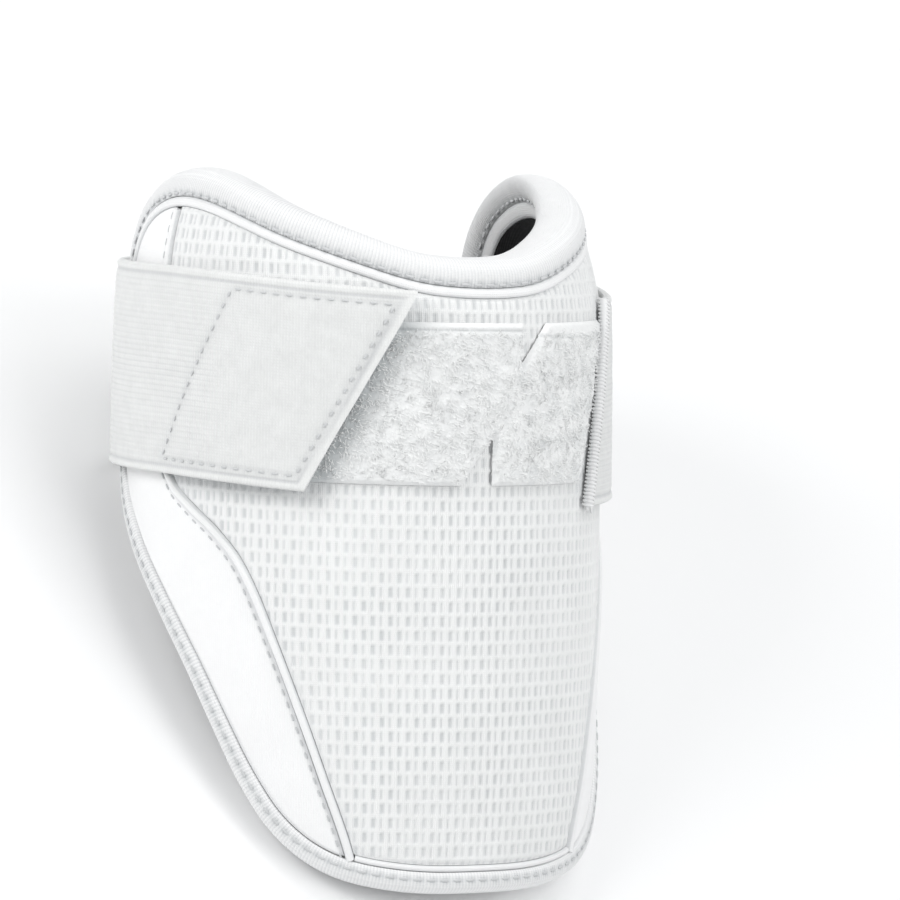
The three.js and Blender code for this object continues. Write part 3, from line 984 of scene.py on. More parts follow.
class Yarn(Enum):
    """How the yarns of a cloth run."""

    WEAVE = "weave"
    KNIT = "knit"
    PILE = "pile"


@dataclass(frozen=True)
class Fabric:
    """A cloth finish that is painted by its nodes."""

    name: str
    colour: tuple[float, float, float]
    shade: tuple[float, float, float]
    yarn: Yarn
    pitch: float
    depth: float
    roughness: float = 0.85
    sheen: float = 0.25
    mottle: float = 0.05
    mottle_size: float = 0.012
    specular: float = 0.25

    @cached_property
    def material(self) -> bpy.types.Material:
        """The material, built when the first piece asks for it."""
        material = bpy.data.materials.new(self.name)
        material.use_nodes = True
        material.diffuse_color = (*self.colour, 1)
        nodes = Nodes(material.node_tree)
        shader = material.node_tree.nodes["Principled BSDF"]
        yarn = self._yarn(nodes)
        hollow = nodes.attribute("hollow")
        mottle = nodes.noise(1 / self.mottle_size, 3.0)
        grain = nodes.noise(1 / (self.pitch * 2.2), 2.0)
        # The hollow attribute darkens the colour towards the shade colour: painted shade in grooves
        # and creases, painted shadow beside the strap's ends, and the pile's own random tone.
        tint = nodes.mix(hollow, self.colour, self.shade)
        drift = nodes.ranged(mottle, 0.3, 0.7, 1 - self.mottle, 1.0)
        fleck = nodes.ranged(grain, 0.3, 0.7, 1 - self.mottle / 2, 1.0)
        dip = nodes.ranged(yarn, 0.0, 1.0, 1 - self.mottle, 1.0)
        light = nodes.math("MULTIPLY", nodes.math("MULTIPLY", drift, fleck), dip)
        nodes.link(nodes.scale(tint, light), shader.inputs["Base Color"])
        rough = nodes.ranged(grain, 0.3, 0.7, self.roughness - 0.08, self.roughness + 0.05)
        nodes.link(rough, shader.inputs["Roughness"])
        height = nodes.math("ADD", yarn, nodes.math("MULTIPLY", grain, nodes.value(0.6)))
        nodes.link(nodes.bump(height, self.depth), shader.inputs["Normal"])
        shader.inputs["Sheen Weight"].default_value = self.sheen
        shader.inputs["Sheen Roughness"].default_value = 0.5
        shader.inputs["Specular IOR Level"].default_value = self.specular
        return material

    def _yarn(self, nodes: "Nodes") -> Socket:
        """Adds the nodes of the yarns.

        Args:
            nodes: The material's nodes.

        Returns:
            The height of the yarns over the cloth, from 0 to 1.
        """
        if self.yarn is Yarn.PILE:
            return nodes.noise(1 / self.pitch, 4.0)
        across = nodes.wave(0, self.pitch)
        along = nodes.wave(1, self.pitch)
        if self.yarn is Yarn.KNIT:
            return nodes.math("MULTIPLY", across, nodes.ranged(along, 0.0, 1.0, 0.55, 1.0))
        return nodes.math("MAXIMUM", across, along)


class Nodes:
    """Short ways to add the nodes of a material."""

    def __init__(self, tree: bpy.types.NodeTree) -> None:
        """Keeps the tree that the nodes go in."""
        self.tree = tree

    def add(self, kind: str) -> bpy.types.Node:
        """Adds a node of a kind."""
        return self.tree.nodes.new(kind)

    def link(self, source: Socket, target: Socket) -> None:
        """Links two sockets."""
        self.tree.links.new(source, target)

    def value(self, number: float) -> Socket:
        """A plain number."""
        node = self.add("ShaderNodeValue")
        node.outputs[0].default_value = number
        return node.outputs[0]

    def math(self, operation: str, *inputs: Socket) -> Socket:
        """A sum of sockets by one operation."""
        node = self.add("ShaderNodeMath")
        node.operation = operation
        for socket, source in zip(node.inputs, inputs):
            self.link(source, socket)
        return node.outputs[0]

    def attribute(self, name: str) -> Socket:
        """A number that the mesh carries."""
        node = self.add("ShaderNodeAttribute")
        node.attribute_name = name
        return node.outputs["Fac"]

    def noise(self, scale: float, detail: float) -> Socket:
        """Noise over the object, its scale given for each metre."""
        place = self.add("ShaderNodeTexCoord")
        node = self.add("ShaderNodeTexNoise")
        node.inputs["Scale"].default_value = scale
        node.inputs["Detail"].default_value = detail
        self.link(place.outputs["Object"], node.inputs["Vector"])
        return node.outputs["Fac"]

    def wave(self, axis: int, pitch: float) -> Socket:
        """Even ridges over the flat cloth, from 0 to 1.

        Args:
            axis: 0 for ridges that follow each other across the cloth, 1 for up it.
            pitch: Metres from ridge to ridge.

        Returns:
            The height of the ridges.
        """
        chart = self.add("ShaderNodeUVMap")
        chart.uv_map = "cloth"
        split = self.add("ShaderNodeSeparateXYZ")
        self.link(chart.outputs[0], split.inputs[0])
        turns = self.value(2 * math.pi / (pitch * MAP_UNITS))
        sine = self.math("SINE", self.math("MULTIPLY", split.outputs[axis], turns))
        return self.ranged(sine, -1.0, 1.0, 0.0, 1.0)

    def ranged(
        self, source: Socket, low: float, high: float, new_low: float, new_high: float
    ) -> Socket:
        """A value moved from one range to another.

        Args:
            source: The value.
            low: Low end of its own range.
            high: High end of its own range.
            new_low: What the low end becomes.
            new_high: What the high end becomes.

        Returns:
            The moved value.
        """
        node = self.add("ShaderNodeMapRange")
        self.link(source, node.inputs["Value"])
        for key, number in (("From Min", low), ("From Max", high),
                            ("To Min", new_low), ("To Max", new_high)):
            node.inputs[key].default_value = number
        return node.outputs["Result"]

    def mix(
        self, share: Socket, first: tuple[float, ...], second: tuple[float, ...]
    ) -> Socket:
        """A colour between two.

        Args:
            share: Share of the second one.
            first: The first colour.
            second: The second colour.

        Returns:
            The colour.
        """
        node = self.add("ShaderNodeMix")
        node.data_type = "RGBA"
        self.link(share, node.inputs["Factor"])
        node.inputs[6].default_value = (*first, 1)
        node.inputs[7].default_value = (*second, 1)
        return node.outputs[2]

    def scale(self, colour: Socket, light: Socket) -> Socket:
        """A colour made darker by a number."""
        node = self.add("ShaderNodeVectorMath")
        node.operation = "SCALE"
        self.link(colour, node.inputs[0])
        self.link(light, node.inputs["Scale"])
        return node.outputs[0]

    def bump(self, height: Socket, depth: float) -> Socket:
        """A bumped normal, its depth in metres."""
        node = self.add("ShaderNodeBump")
        node.inputs["Distance"].default_value = depth
        self.link(height, node.inputs["Height"])
        return node.outputs["Normal"]


class Finish(Enum):
    """The finishes of the guard."""

    MESH = Fabric("spacer_mesh", (0.95, 0.955, 0.95), (0.74, 0.755, 0.76), Yarn.KNIT,
                  pitch=0.0005, depth=0.0001, mottle=0.03)
    COVER = Fabric("smooth_knit", (0.95, 0.95, 0.95), (0.7, 0.71, 0.72), Yarn.KNIT,
                   pitch=0.0006, depth=0.00005, mottle=0.02)
    BINDING = Fabric("ribbed_binding", (0.95, 0.95, 0.95), (0.58, 0.6, 0.61), Yarn.WEAVE,
                     pitch=0.0004, depth=0.00008, mottle=0.03)
    TAPE = Fabric("flat_tape", (0.95, 0.95, 0.95), (0.66, 0.68, 0.69), Yarn.WEAVE,
                  pitch=0.0005, depth=0.00008, mottle=0.03)
    PIPING = Fabric("piping_knit", (0.95, 0.95, 0.95), (0.68, 0.7, 0.71), Yarn.WEAVE,
                    pitch=0.0004, depth=0.00006, mottle=0.03)
    ELASTIC = Fabric("woven_elastic", (0.865, 0.87, 0.86), (0.58, 0.59, 0.6), Yarn.KNIT,
                     pitch=0.0007, depth=0.00012, mottle_size=0.004)
    HOOK = Fabric("hook_tape", (0.78, 0.785, 0.79), (0.4, 0.41, 0.43), Yarn.WEAVE,
                  pitch=0.0012, depth=0.0004)
    PILE = Fabric("brushed_pile", (0.95, 0.955, 0.95), (0.5, 0.53, 0.54), Yarn.PILE,
                  pitch=0.0008, depth=0.0003, roughness=0.95, sheen=0.6, mottle=0.04,
                  mottle_size=0.009)
    LINING = Fabric("black_lining", (0.006, 0.006, 0.007), (0.002, 0.002, 0.002), Yarn.KNIT,
                    pitch=0.0008, depth=0.0001, sheen=0.02, mottle=0.2)
    # The thread is grey as painted shade, for the dark dashes where the stitches sink into the
    # cloth.
    THREAD = Fabric("sewing_thread", (0.66, 0.67, 0.675), (0.4, 0.4, 0.4), Yarn.PILE,
                    pitch=0.0003, depth=0.0001)
    SERGE = Fabric("serging_thread", (0.93, 0.93, 0.93), (0.6, 0.6, 0.6), Yarn.PILE,
                   pitch=0.0004, depth=0.0001)
    FOAM = Fabric("moulded_foam", (0.85, 0.85, 0.83), (0.6, 0.6, 0.58), Yarn.PILE,
                  pitch=0.0006, depth=0.0002)


def finish_piece(
    piece: bpy.types.Object, finish: Finish, nodes: Sequence[str] = ()
) -> None:
    """Dresses a piece and puts it on the guard's one body.

    Args:
        piece: The piece.
        finish: Its finish.
        nodes: The solids that it stands for.
    """
    piece.data.materials.clear()
    piece.data.materials.append(finish.value.material)
    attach(piece, "root")
    if nodes:
        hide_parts(*nodes)
    log.info("%s: %d faces", piece.name, len(piece.data.polygons))


def strap_painted_shadow(across: Array, y: Array) -> Array:
    """Painted shadow that the strap's two ends cast on the cloth beside them, from 0 to 1.

    Args:
        across: Flat distance round.
        y: Height.

    Returns:
        The share of each spot.
    """
    share = y / STRAP_PATH.width + 0.5
    level = ease(share, -0.08, 0.1) * (1 - ease(share, 0.85, 1.05))
    total = np.zeros_like(across)
    # Full painted shadow under the strap, fading over each reach beside the two ends.
    for slant, side, reach in ((STRAP_PATH.end, 1, 0.0048), (STRAP_PATH.start, -1, 0.0055)):
        edge = BODY.round_of(mix(slant.low, slant.high, share))
        gap = np.maximum((across - edge) * side, 0)
        total = np.maximum(total, bell(gap, reach))
    return total * level


@dataclass
class MeshFace:
    """The spacer mesh between the two seams, with its rows of paired slots."""

    cell: float = 0.00415
    row: float = 0.00342
    parts: int = 8
    wide_slot: float = 0.3125
    thin_slot: float = 0.75
    slot_depth: float = 0.00045
    tuck: float = 0.0005
    tuck_width: float = 0.0012
    swell: float = 0.00012

    def slots(self, across: Array, y: Array) -> Array:
        """How deep each spot lies in a slot, from 0 to 1.

        Args:
            across: Flat distance round.
            y: Height.

        Returns:
            The depth of each spot.
        """
        rows = y / self.row + 1e-6
        share = (across / self.cell + 0.5 * (np.floor(rows) % 2)) % 1.0
        rise = rows % 1.0
        wide = 1 - ease(np.abs(share - self.wide_slot), 0.05, 0.2)
        thin = 0.75 * (1 - ease(np.abs(share - self.thin_slot), 0.02, 0.14))
        tall = 1 - ease(np.abs(rise - 0.5), 0.24, 0.46)
        return np.maximum(wide, thin) * tall

    def edge(self, y: Array) -> Array:
        """Flat distance of the mesh's edge beside the piping at heights."""
        return BODY.seam_at(y) - BODY.seam_gap(y)

    def build(self) -> None:
        """Makes the mesh face."""
        ring = BODY.trimmed(TRIM.rim_reserve, TRIM.foot_piping_end)
        step, rise = self.cell / self.parts, self.row / self.parts
        reach = math.ceil(BODY.seam_at(np.array([BODY.rim_peak]))[0] / step)
        low = math.floor(ring[:, 1].min() / rise)
        high = math.ceil(ring[:, 1].max() / rise)
        cloth = Cloth("spacer_mesh_face", 2 * reach, high - low)
        across = np.rint(cloth.u * 2 * reach) * step - reach * step
        y = (np.rint(cloth.v * (high - low)) + low) * rise
        depth = self.slots(across, y)
        bottom, top = BODY.column_span(ring, across)
        within = (y > bottom) & (y < top)
        y = np.clip(y, bottom, top)
        edge = self.edge(y)
        within &= np.abs(across) < edge
        across = np.clip(across, -edge, edge)
        near = np.minimum(np.minimum(y - bottom, top - y), edge - np.abs(across))
        tucked = 1 - ease(near, 0.0, self.tuck_width)
        swell = self.swell * ripple(across, y, 0.02, 4)
        off = swell - self.slot_depth * depth * (1 - tucked) - self.tuck * tucked
        # Painted shade in the slots, uneven over the face, and painted shadow beside the strap's
        # ends.
        fade = 1 - 0.35 * ease(ripple(across, y, 0.03, 5), -0.6, 0.6)
        hollow = np.clip(depth * fade + 0.9 * strap_painted_shadow(across, y), 0, 1)
        cloth.lay(BODY.on_flat(across, y, off), pair(across, y), hollow)
        cloth.keep_faces(within)
        size, area = cloth.cut()
        smooth(cloth.piece, 70.0)
        finish_piece(cloth.piece, Finish.MESH, ["mesh_panel"])


@dataclass
class Wings:
    """The smooth covers of the two wings, which the foam pushes out between their seams."""

    columns: int = 44
    rows: int = 170
    crowding: float = 0.06
    tuck: float = 0.0005
    tuck_width: float = 0.0016
    swell: float = 0.0001
    end_room: float = 0.16
    push: float = 4000.0
    weight: float = 0.05
    quality: int = 5
    most_rise: float = 0.0012
    frames: int = 15

    def fill(self, cloth: Cloth, near: Array) -> None:
        """Simulates a cover that is held at its seams and pushed out by the foam.

        Args:
            cloth: The laid cover.
            near: Distance of each vertex from the nearest seam.
        """
        before = cloth.places()
        cloth.weigh("sewn", 1 - ease(near, 0.0006, 0.003))
        select_only(cloth.piece)
        modifier = cloth.piece.modifiers.new("push", "CLOTH")
        settings = modifier.settings
        settings.quality = self.quality
        settings.mass = self.weight
        settings.vertex_group_mass = "sewn"
        settings.use_pressure = True
        settings.uniform_pressure_force = self.push
        settings.effector_weights.gravity = 0.0
        for number in range(1, self.frames + 1):
            bpy.context.scene.frame_set(number)
        bpy.ops.object.modifier_apply(modifier=modifier.name)
        bpy.context.scene.frame_set(1)
        move = cloth.places() - before
        rise = np.linalg.norm(move, axis=1, keepdims=True)
        share = self.most_rise / (self.most_rise + rise)
        cloth.move(before + move * share)
        log.info("%s: rises by up to %.2f mm", cloth.piece.name, 1000 * (rise * share).max())

    def build(self) -> None:
        """Makes the two covers."""
        for side, name in ((-1, "left"), (1, "right")):
            self.cover(side, name)

    def cover(self, side: int, name: str) -> None:
        """Makes one cover.

        Args:
            side: -1 for the left wing, 1 for the right one.
            name: Name of the side.
        """
        ring = BODY.trimmed(TRIM.rim_reserve, TRIM.foot_reserve)

        def start(y: Array) -> Array:
            """Flat distance of the cover's edge beside the piping."""
            return BODY.seam_at(y) + BODY.seam_gap(y)

        def reach(y: Array) -> Array:
            """Flat distance of the cover's outer edge."""
            return BODY.row_reach(ring, y)

        heights = BODY.seam_heights(
            lambda y: reach(y) - start(y) > TRIM.piping * 0.6, self.rows, reach)
        cloth = Cloth(f"{name}_wing_knit", self.columns, self.rows)
        y = heights[np.rint(cloth.v * self.rows).astype(int)]
        share = cloth.u if side > 0 else 1 - cloth.u
        share = share - self.crowding * np.sin(2 * math.pi * share)
        across = mix(start(y), reach(y), share)
        room = np.minimum(share, 1 - share) * (reach(y) - start(y))
        near = np.minimum(room, np.minimum(cloth.v, 1 - cloth.v) * self.end_room)
        pulled = 1 - ease(near, 0.0, self.tuck_width)
        swell = self.swell * ease(near, 0.001, 0.014)
        off = ripple(across, y, 0.016, 11 + side) * swell - self.tuck * pulled
        points = BODY.on_flat(side * across, y, off)
        # Painted shade where the cover is tucked in along its edges.
        cloth.lay(points, pair(side * across, y), 0.5 * pulled)
        size, area = cloth.cut()
        self.fill(cloth, near)
        apply(cloth.piece, "SOLIDIFY", thickness=BODY.cover - self.tuck, offset=-1.0)
        smooth(cloth.piece, 60.0)
        finish_piece(cloth.piece, Finish.COVER, [f"{name}_wing_cover"])


@dataclass
class InsideLayers:
    """The foam, and the lining on the arm's side."""

    reach: float = 0.995
    crowding: float = 0.12
    lift: float = 0.05

    def fill(self, cloth: Cloth, ring: Array) -> tuple[Array, Array]:
        """Spreads a cloth over a ring in level columns, closer together at its two tips.

        Args:
            cloth: The cloth.
            ring: The ring that it fills.

        Returns:
            The flat distance round and the height of each vertex.
        """
        spread = 2 * cloth.u - 1 - self.crowding * np.sin(2 * math.pi * cloth.u)
        across = ring[:, 0].max() * self.reach * spread
        low, high = BODY.column_span(ring, across)
        return across, mix(low, high, cloth.v + self.lift * np.sin(math.pi * cloth.v))

    def build(self) -> None:
        """Makes the foam and the lining."""
        self.foam()
        self.lining()

    def foam(self) -> None:
        """Makes the moulded foam."""
        cloth = Cloth("foam_core", 120, 50)
        across, y = self.fill(cloth, BODY.ring(TRIM.web + GAP))
        off = np.full(len(y), -BODY.cover - LAYER_GAP)
        cloth.lay(BODY.on_flat(across, y, off), pair(across, y))
        thick = BODY.wall_at(across) - BODY.cover - BODY.lining - 2 * LAYER_GAP
        cloth.weigh("thickness", thick / thick.max())
        apply(cloth.piece, "SOLIDIFY", thickness=float(thick.max()), offset=-1.0,
              vertex_group="thickness")
        smooth(cloth.piece)
        finish_piece(cloth.piece, Finish.FOAM, ["padded_shell"])

    def lining(self) -> None:
        """Makes the black lining."""
        ring = BODY.trimmed(TRIM.tape_end + GAP, TRIM.foot_reserve)
        cloth = Cloth("inner_lining_knit", 150, 90)
        across, y = self.fill(cloth, ring)
        points = BODY.on_flat(across, y, BODY.lining - BODY.wall_at(across))
        cloth.lay(points, pair(across, y))
        size, area = cloth.cut()
        apply(cloth.piece, "SOLIDIFY", thickness=BODY.lining, offset=-1.0)
        smooth(cloth.piece, 60.0)
        finish_piece(cloth.piece, Finish.LINING, ["inner_lining"])


def stitch_inset(height: float) -> float:
    """How far a binding's stitches lie from its inner edge, further in on the lower one."""
    return 0.0018 if height < TRIM.top_binding else 0.0007


@dataclass
class Edging:
    """The ribbed bindings round the edge, with the band and the tape beside them."""

    rib: float = 0.00085
    rib_height: float = 0.00014
    stitch: float = 0.0034
    seam: float = 0.0008
    seam_depth: float = 0.00025
    rib_parts: int = 4
    strip_part: float = 0.0006
    crease: float = 0.0004
    overlap: float = 0.0001

    def profile(self, height: float) -> Array:
        """Profile of a binding that is folded over the edge.

        Args:
            height: Its height on the cloth.

        Returns:
            Rows of aside, offset and share of the wall.
        """
        bulge = TRIM.bulge

        def crown(share: float, depth: float) -> tuple[float, float, float]:
            """Row on the roll at a depth through the wall."""
            return height * share, bulge * (1 - 2 * depth), -depth

        corners = [
            (height, bulge * 0.1, 0.0), crown(0.78, 0.02), crown(0.4, 0.0), crown(0.1, 0.13),
            crown(0.0, 0.35), crown(0.0, 0.65), crown(0.1, 0.87), crown(0.4, 1.0),
            crown(0.78, 0.98), (height, -bulge * 0.1, -1.0), (height, BODY.lining, -1.0),
            (TRIM.web, BODY.lining, -1.0), (TRIM.web, -BODY.cover, 0.0),
            (height, -BODY.cover, 0.0),
        ]
        return rounded(corners, 3, until=9)

    def binding(self, name: str, node: str, first: float, last: float, height: float) -> None:
        """Makes one binding.

        Args:
            name: Name of the piece.
            node: The solid that it stands for.
            first: Outline point where it starts.
            last: Outline point where it ends.
            height: Its height on the cloth.
        """
        length = (last - first) * BODY.spacing
        columns = int(length / self.rib) * self.rib_parts

        def place(u: Array, rows: Array) -> Layout:
            """Points, flat places and hollows of the binding."""
            at, run = mix(first, last, u), u * length
            aside, base, deep = rows.T
            wall = BODY.wall_at(BODY.inside(at, aside)[:, 0])
            off = base + deep * wall
            out_off, out_aside = off + wall / 2, aside - height * 0.55
            reach = np.hypot(out_off, out_aside) + 1e-9
            folded = (deep == 0) & (base < 0) | (base > TRIM.bulge * 0.9) & (deep == -1)
            wave = np.abs(np.sin(math.pi * run / self.rib))
            sewn = bell(aside - height + stitch_inset(height), self.seam) * ~folded
            pucker = 0.5 + 0.5 * np.cos(2 * math.pi * run / self.stitch)
            lift = np.where(folded, 0, self.rib_height * (wave - 0.6))
            lift = lift - self.seam_depth * sewn * (0.5 + 0.5 * pucker)
            moved = BODY.inside(at, aside + lift * out_aside / reach)
            points = BODY.on_flat(moved[:, 0], moved[:, 1], off + lift * out_off / reach)
            # Painted shade between the ribs and along the stitched seam.
            hollow = np.clip(0.5 * (1 - wave) ** 1.5 + 0.7 * sewn * (0.4 + 0.6 * pucker), 0, 1)
            return points, pair(run, aside + np.abs(deep) * 0.01), hollow

        cloth = tube(name, columns, self.profile(height), place)
        finish_piece(cloth.piece, Finish.BINDING, [node])

    def strip(
        self, name: str, node: str, span: tuple[float, float], corners: Sequence[tuple],
        finish: Finish,
    ) -> None:
        """Makes one narrow strip along the outline.

        Args:
            name: Name of the piece.
            node: The solid that it stands for.
            span: First and last outline point.
            corners: Rows of aside, offset and share of the wall.
            finish: Its finish.
        """
        length = (span[1] - span[0]) * BODY.spacing
        low, *_, high = sorted(row[0] for row in corners)

        def place(u: Array, rows: Array) -> Layout:
            """Points, flat places and hollows of the strip."""
            aside, base, deep = rows.T
            spots = BODY.inside(mix(*span, u), aside)
            off = base + deep * BODY.wall_at(spots[:, 0])
            points = BODY.on_flat(spots[:, 0], spots[:, 1], off)
            side = np.minimum(aside - low, high - aside)
            # Painted shade along the strip's creased edges.
            return points, pair(u * length, aside), 0.5 * (1 - ease(side, 0.0, self.crease))

        cloth = tube(name, int(length / self.strip_part), rounded(corners, 3), place)
        finish_piece(cloth.piece, finish, [node])

    def seam_corners(self, start: float, width: float, proud: float) -> list[tuple]:
        """Profile of a narrow band that sits in the cover, with a rounded top.

        Args:
            start: Distance of its edge from the outline.
            width: Its width.
            proud: How far its top stands over the cover.

        Returns:
            Rows of aside, offset and share of the wall.
        """
        low, high = start - self.overlap, start + width + self.overlap
        return [
            (low, -BODY.cover, 0.0), (low, 0.0, 0.0), (start + width * 0.3, proud, 0.0),
            (start + width * 0.7, proud, 0.0), (high, 0.0, 0.0), (high, -BODY.cover, 0.0),
        ]

    def build(self) -> None:
        """Makes the bindings, the band, the tape and the foot piping."""
        tip, count = BODY.tip, BODY.outline_points
        gap = GAP / 2 / BODY.spacing
        self.binding("upper_binding_roll", "top_binding", gap - tip, tip - gap, TRIM.top_binding)
        self.binding("lower_binding_roll", "lower_binding", tip + gap, count - tip - gap,
                     TRIM.lower_binding)
        band = self.seam_corners(TRIM.band_start, TRIM.band, TRIM.band_proud)
        self.strip("upper_band_tape", "top_band", (2 - tip, tip - 2), band, Finish.TAPE)
        near, far = TRIM.band_start, TRIM.tape_end
        top, base = BODY.lining, BODY.lining - TRIM.tape_thick
        tape = [(near, top, -1.0), (far, top, -1.0), (far, base, -1.0), (near, base, -1.0)]
        self.strip("inner_rim_tape", "inner_tape", (3 - tip, tip - 3), tape, Finish.TAPE)
        self.foot_piping(count / 2)

    def foot_piping(self, middle: float) -> None:
        """Makes the thin piping above the lower binding, between the two side pipings.

        Args:
            middle: Outline point at the middle of the foot.
        """
        foot = np.array([-BODY.foot_drop + TRIM.foot_reserve])
        reach = BODY.seam_at(foot)[0] - TRIM.piping * 0.35
        at = np.arange(0, BODY.tip, 0.05)
        spots = BODY.inside(middle + at, np.full(len(at), TRIM.foot_piping_end))
        span = at[np.argmax(np.abs(spots[:, 0]) > reach)]
        rows = self.seam_corners(TRIM.foot_reserve, TRIM.foot_piping, TRIM.foot_piping_proud)
        self.strip("foot_piping_cord", "bottom_piping", (middle - span, middle + span), rows,
                   Finish.PIPING)


@dataclass
class SeamPiping:
    """The piping in the seam between the mesh and each wing."""

    parts: int = 300

    def line(self) -> Array:
        """Flat line of the seam that the piping covers."""
        ring = BODY.trimmed(TRIM.rim_reserve, TRIM.foot_reserve)

        def passes(y: Array) -> Array:
            """Tells whether the seam lies between the bindings at heights."""
            low, high = BODY.column_span(ring, BODY.seam_at(y))
            return (y > low - GAP) & (y < high - TRIM.piping / 3)

        y = BODY.seam_heights(passes, self.parts)
        return pair(BODY.seam_at(y), y)

    def build(self) -> None:
        """Makes the two pipings."""
        line = self.line()
        aside = beside(line, 1.0) - line
        width, proud = TRIM.piping, TRIM.piping_proud
        corners = [
            (-width / 2, -BODY.cover), (-width / 2, 0.0), (-width * 0.22, proud),
            (width * 0.22, proud), (width / 2, 0.0), (width / 2, -BODY.cover),
        ]
        for side, name in ((-1, "left"), (1, "right")):

            def place(u: Array, rows: Array, side: int = side) -> Layout:
                """Points, flat places and hollows of the piping."""
                at = np.rint(u * self.parts).astype(int)
                spots = line[at] + aside[at] * rows[:, :1]
                points = BODY.on_flat(side * spots[:, 0], spots[:, 1], rows[:, 1])
                # Painted shade along the piping's sides, where it meets the cover.
                hollow = 0.6 * ease(np.abs(rows[:, 0]), width * 0.3, width * 0.5)
                return points, pair(u * length_of(line), rows[:, 0]), hollow

            cloth = tube(f"{name}_seam_piping", self.parts, rounded(corners, 3), place)
            finish_piece(cloth.piece, Finish.PIPING, [f"{name}_piping"])


@dataclass
class Strap:
    """The elastic strap with its sewn start, its hook tape and its loose end."""

    columns: int = 260
    samples: int = 1500
    rib: float = 0.0013
    rib_height: float = 0.00010
    selvedge: float = 0.0018
    selvedge_height: float = 0.00018
    groove: float = 0.00035
    groove_depth: float = 0.00026
    seam: float = 0.0009
    seam_depth: float = 0.0002
    swell: float = 0.00007
    tab_start: float = 288.0
    tab_end: float = 300.0
    hem: float = 0.0036
    hook_inset: float = 0.0016
    hook_columns: int = 60
    serge_width: float = 0.0024
    serge_thick: float = 0.003
    serge_pitch: float = 0.0009
    serge_thread: float = 0.00034
    serge_parts: int = 14
    core_parts: int = 60
    tail_parts: int = 24
    tail_length: float = 0.0035
    tail_top: float = 0.0006
    tail_drop: float = 0.0016
    tail_swing: float = 0.0009
    tail_swings: float = 9.0
    tail_rise: float = 0.0007

    @cached_property
    def turns(self) -> Array:
        """Turns of the strap's columns, at equal lengths."""
        path = STRAP_PATH
        turn = np.linspace(path.middle(path.start), path.middle(path.end), self.samples)
        run = run_of(path.point(turn, np.full(len(turn), 0.5), path.lift(turn)))
        return np.interp(np.linspace(0, run[-1], self.columns + 1), run, turn)

    def tab_lines(self) -> list[Array]:
        """Lines of stitches round the hook tape: distance along the strap, and from its middle."""
        path = STRAP_PATH
        high = path.width / 2 - self.hem
        slope = path.lean(path.end) / path.width * self.hem
        inset = self.hem * 0.95 / BODY.per_degree
        turns = (path.turn_of(path.hook_start.high), path.turn_of(path.hook_start.low),
                 path.turn_of(path.end.low) - inset + slope,
                 path.turn_of(path.end.high) - inset - slope)
        return outlined([np.array((turn * BODY.per_degree, y))
                         for turn, y in zip(turns, (high, -high, -high, high))])

    def face(self, run: Array, aside: Array, off: Array) -> Array:
        """Points over the strap's outer face.

        Args:
            run: Flat distance of each point along the strap.
            aside: Its flat distance from the strap's middle.
            off: Its distance over the face.

        Returns:
            The points, one row each.
        """
        turn, across = run / BODY.per_degree, aside / STRAP_PATH.width + 0.5
        lift = STRAP_PATH.lift(turn) + STRAP_PATH.thick
        return STRAP_PATH.point(turn, across, lift + off)

    def profile(self) -> Array:
        """Rows of the width's share and of the depth through the strap."""
        outer = np.linspace(0.012, 0.988, 151)
        inner = np.linspace(0.988, 0.012, 30)
        rows = [(0.0, 0.5), (0.003, 0.85), *((share, 1.0) for share in outer),
                (0.997, 0.85), (1.0, 0.5), (0.997, 0.15), *((share, 0.0) for share in inner),
                (0.003, 0.15)]
        return np.array(rows)

    def build(self) -> None:
        """Makes the strap, the hook tape and the serged start."""
        self.band()
        self.hook()
        self.serging()

    def band(self) -> None:
        """Makes the elastic band itself."""
        path = STRAP_PATH

        def place(u: Array, rows: Array) -> Layout:
            """Points, flat places and hollows of the strap."""
            across, depth = rows.T
            turn = self.turns[np.rint(u * self.columns).astype(int)]
            turn = path.slanted(turn, across, (path.start, path.end))
            run, aside = turn * BODY.per_degree, (across - 0.5) * path.width
            outer = ease(depth, 0.8, 1.0)
            side = (0.5 - np.abs(across - 0.5)) * path.width
            last = mix(path.turn_of(path.end.low), path.turn_of(path.end.high), across)
            edge = np.minimum(side, last * BODY.per_degree - run)
            in_tab = ease(turn, self.tab_start, self.tab_end)
            ribs = np.abs(np.sin(math.pi * aside / self.rib))
            groove = bell(edge - self.selvedge * 1.15, self.groove)
            selvedge = 1 - ease(edge, self.selvedge * 0.5, self.selvedge)
            pucker = bell(line_distance(pair(run, aside), self.tab_lines()), self.seam)
            relief = self.rib_height * (ribs - 0.7) * (1 - 0.75 * in_tab) * (1 - selvedge)
            relief = relief + self.selvedge_height * selvedge - self.groove_depth * groove
            relief = relief - self.seam_depth * pucker + self.swell * ripple(run, aside, 0.006, 21)
            off = path.lift(turn) + depth * path.thick + relief * outer
            # Painted shade in the rib hollows, the groove inside each selvedge and the stitch
            # puckers; the selvedges are kept lighter.
            hollow = 0.3 * (1 - ribs) ** 2 * (1 - in_tab) * (1 - selvedge) + 0.6 * groove
            hollow = hollow - 0.5 * selvedge * (1 - groove)
            hollow = np.clip((0.1 + hollow + 0.2 * pucker) * outer, 0, 1)
            return path.point(turn, across, off), pair(run, aside), hollow

        cloth = tube("elastic_strap", self.columns, self.profile(), place)
        finish_piece(cloth.piece, Finish.ELASTIC, ["strap"])
        centre = path.point(self.turns, np.full(len(self.turns), 0.5), path.lift(self.turns))
        length_of(centre)

    def hook(self) -> None:
        """Makes the hook tape under the loose end."""
        path = STRAP_PATH
        trim = self.hook_inset / path.width
        end = path.middle(path.end) - self.hook_inset / BODY.per_degree

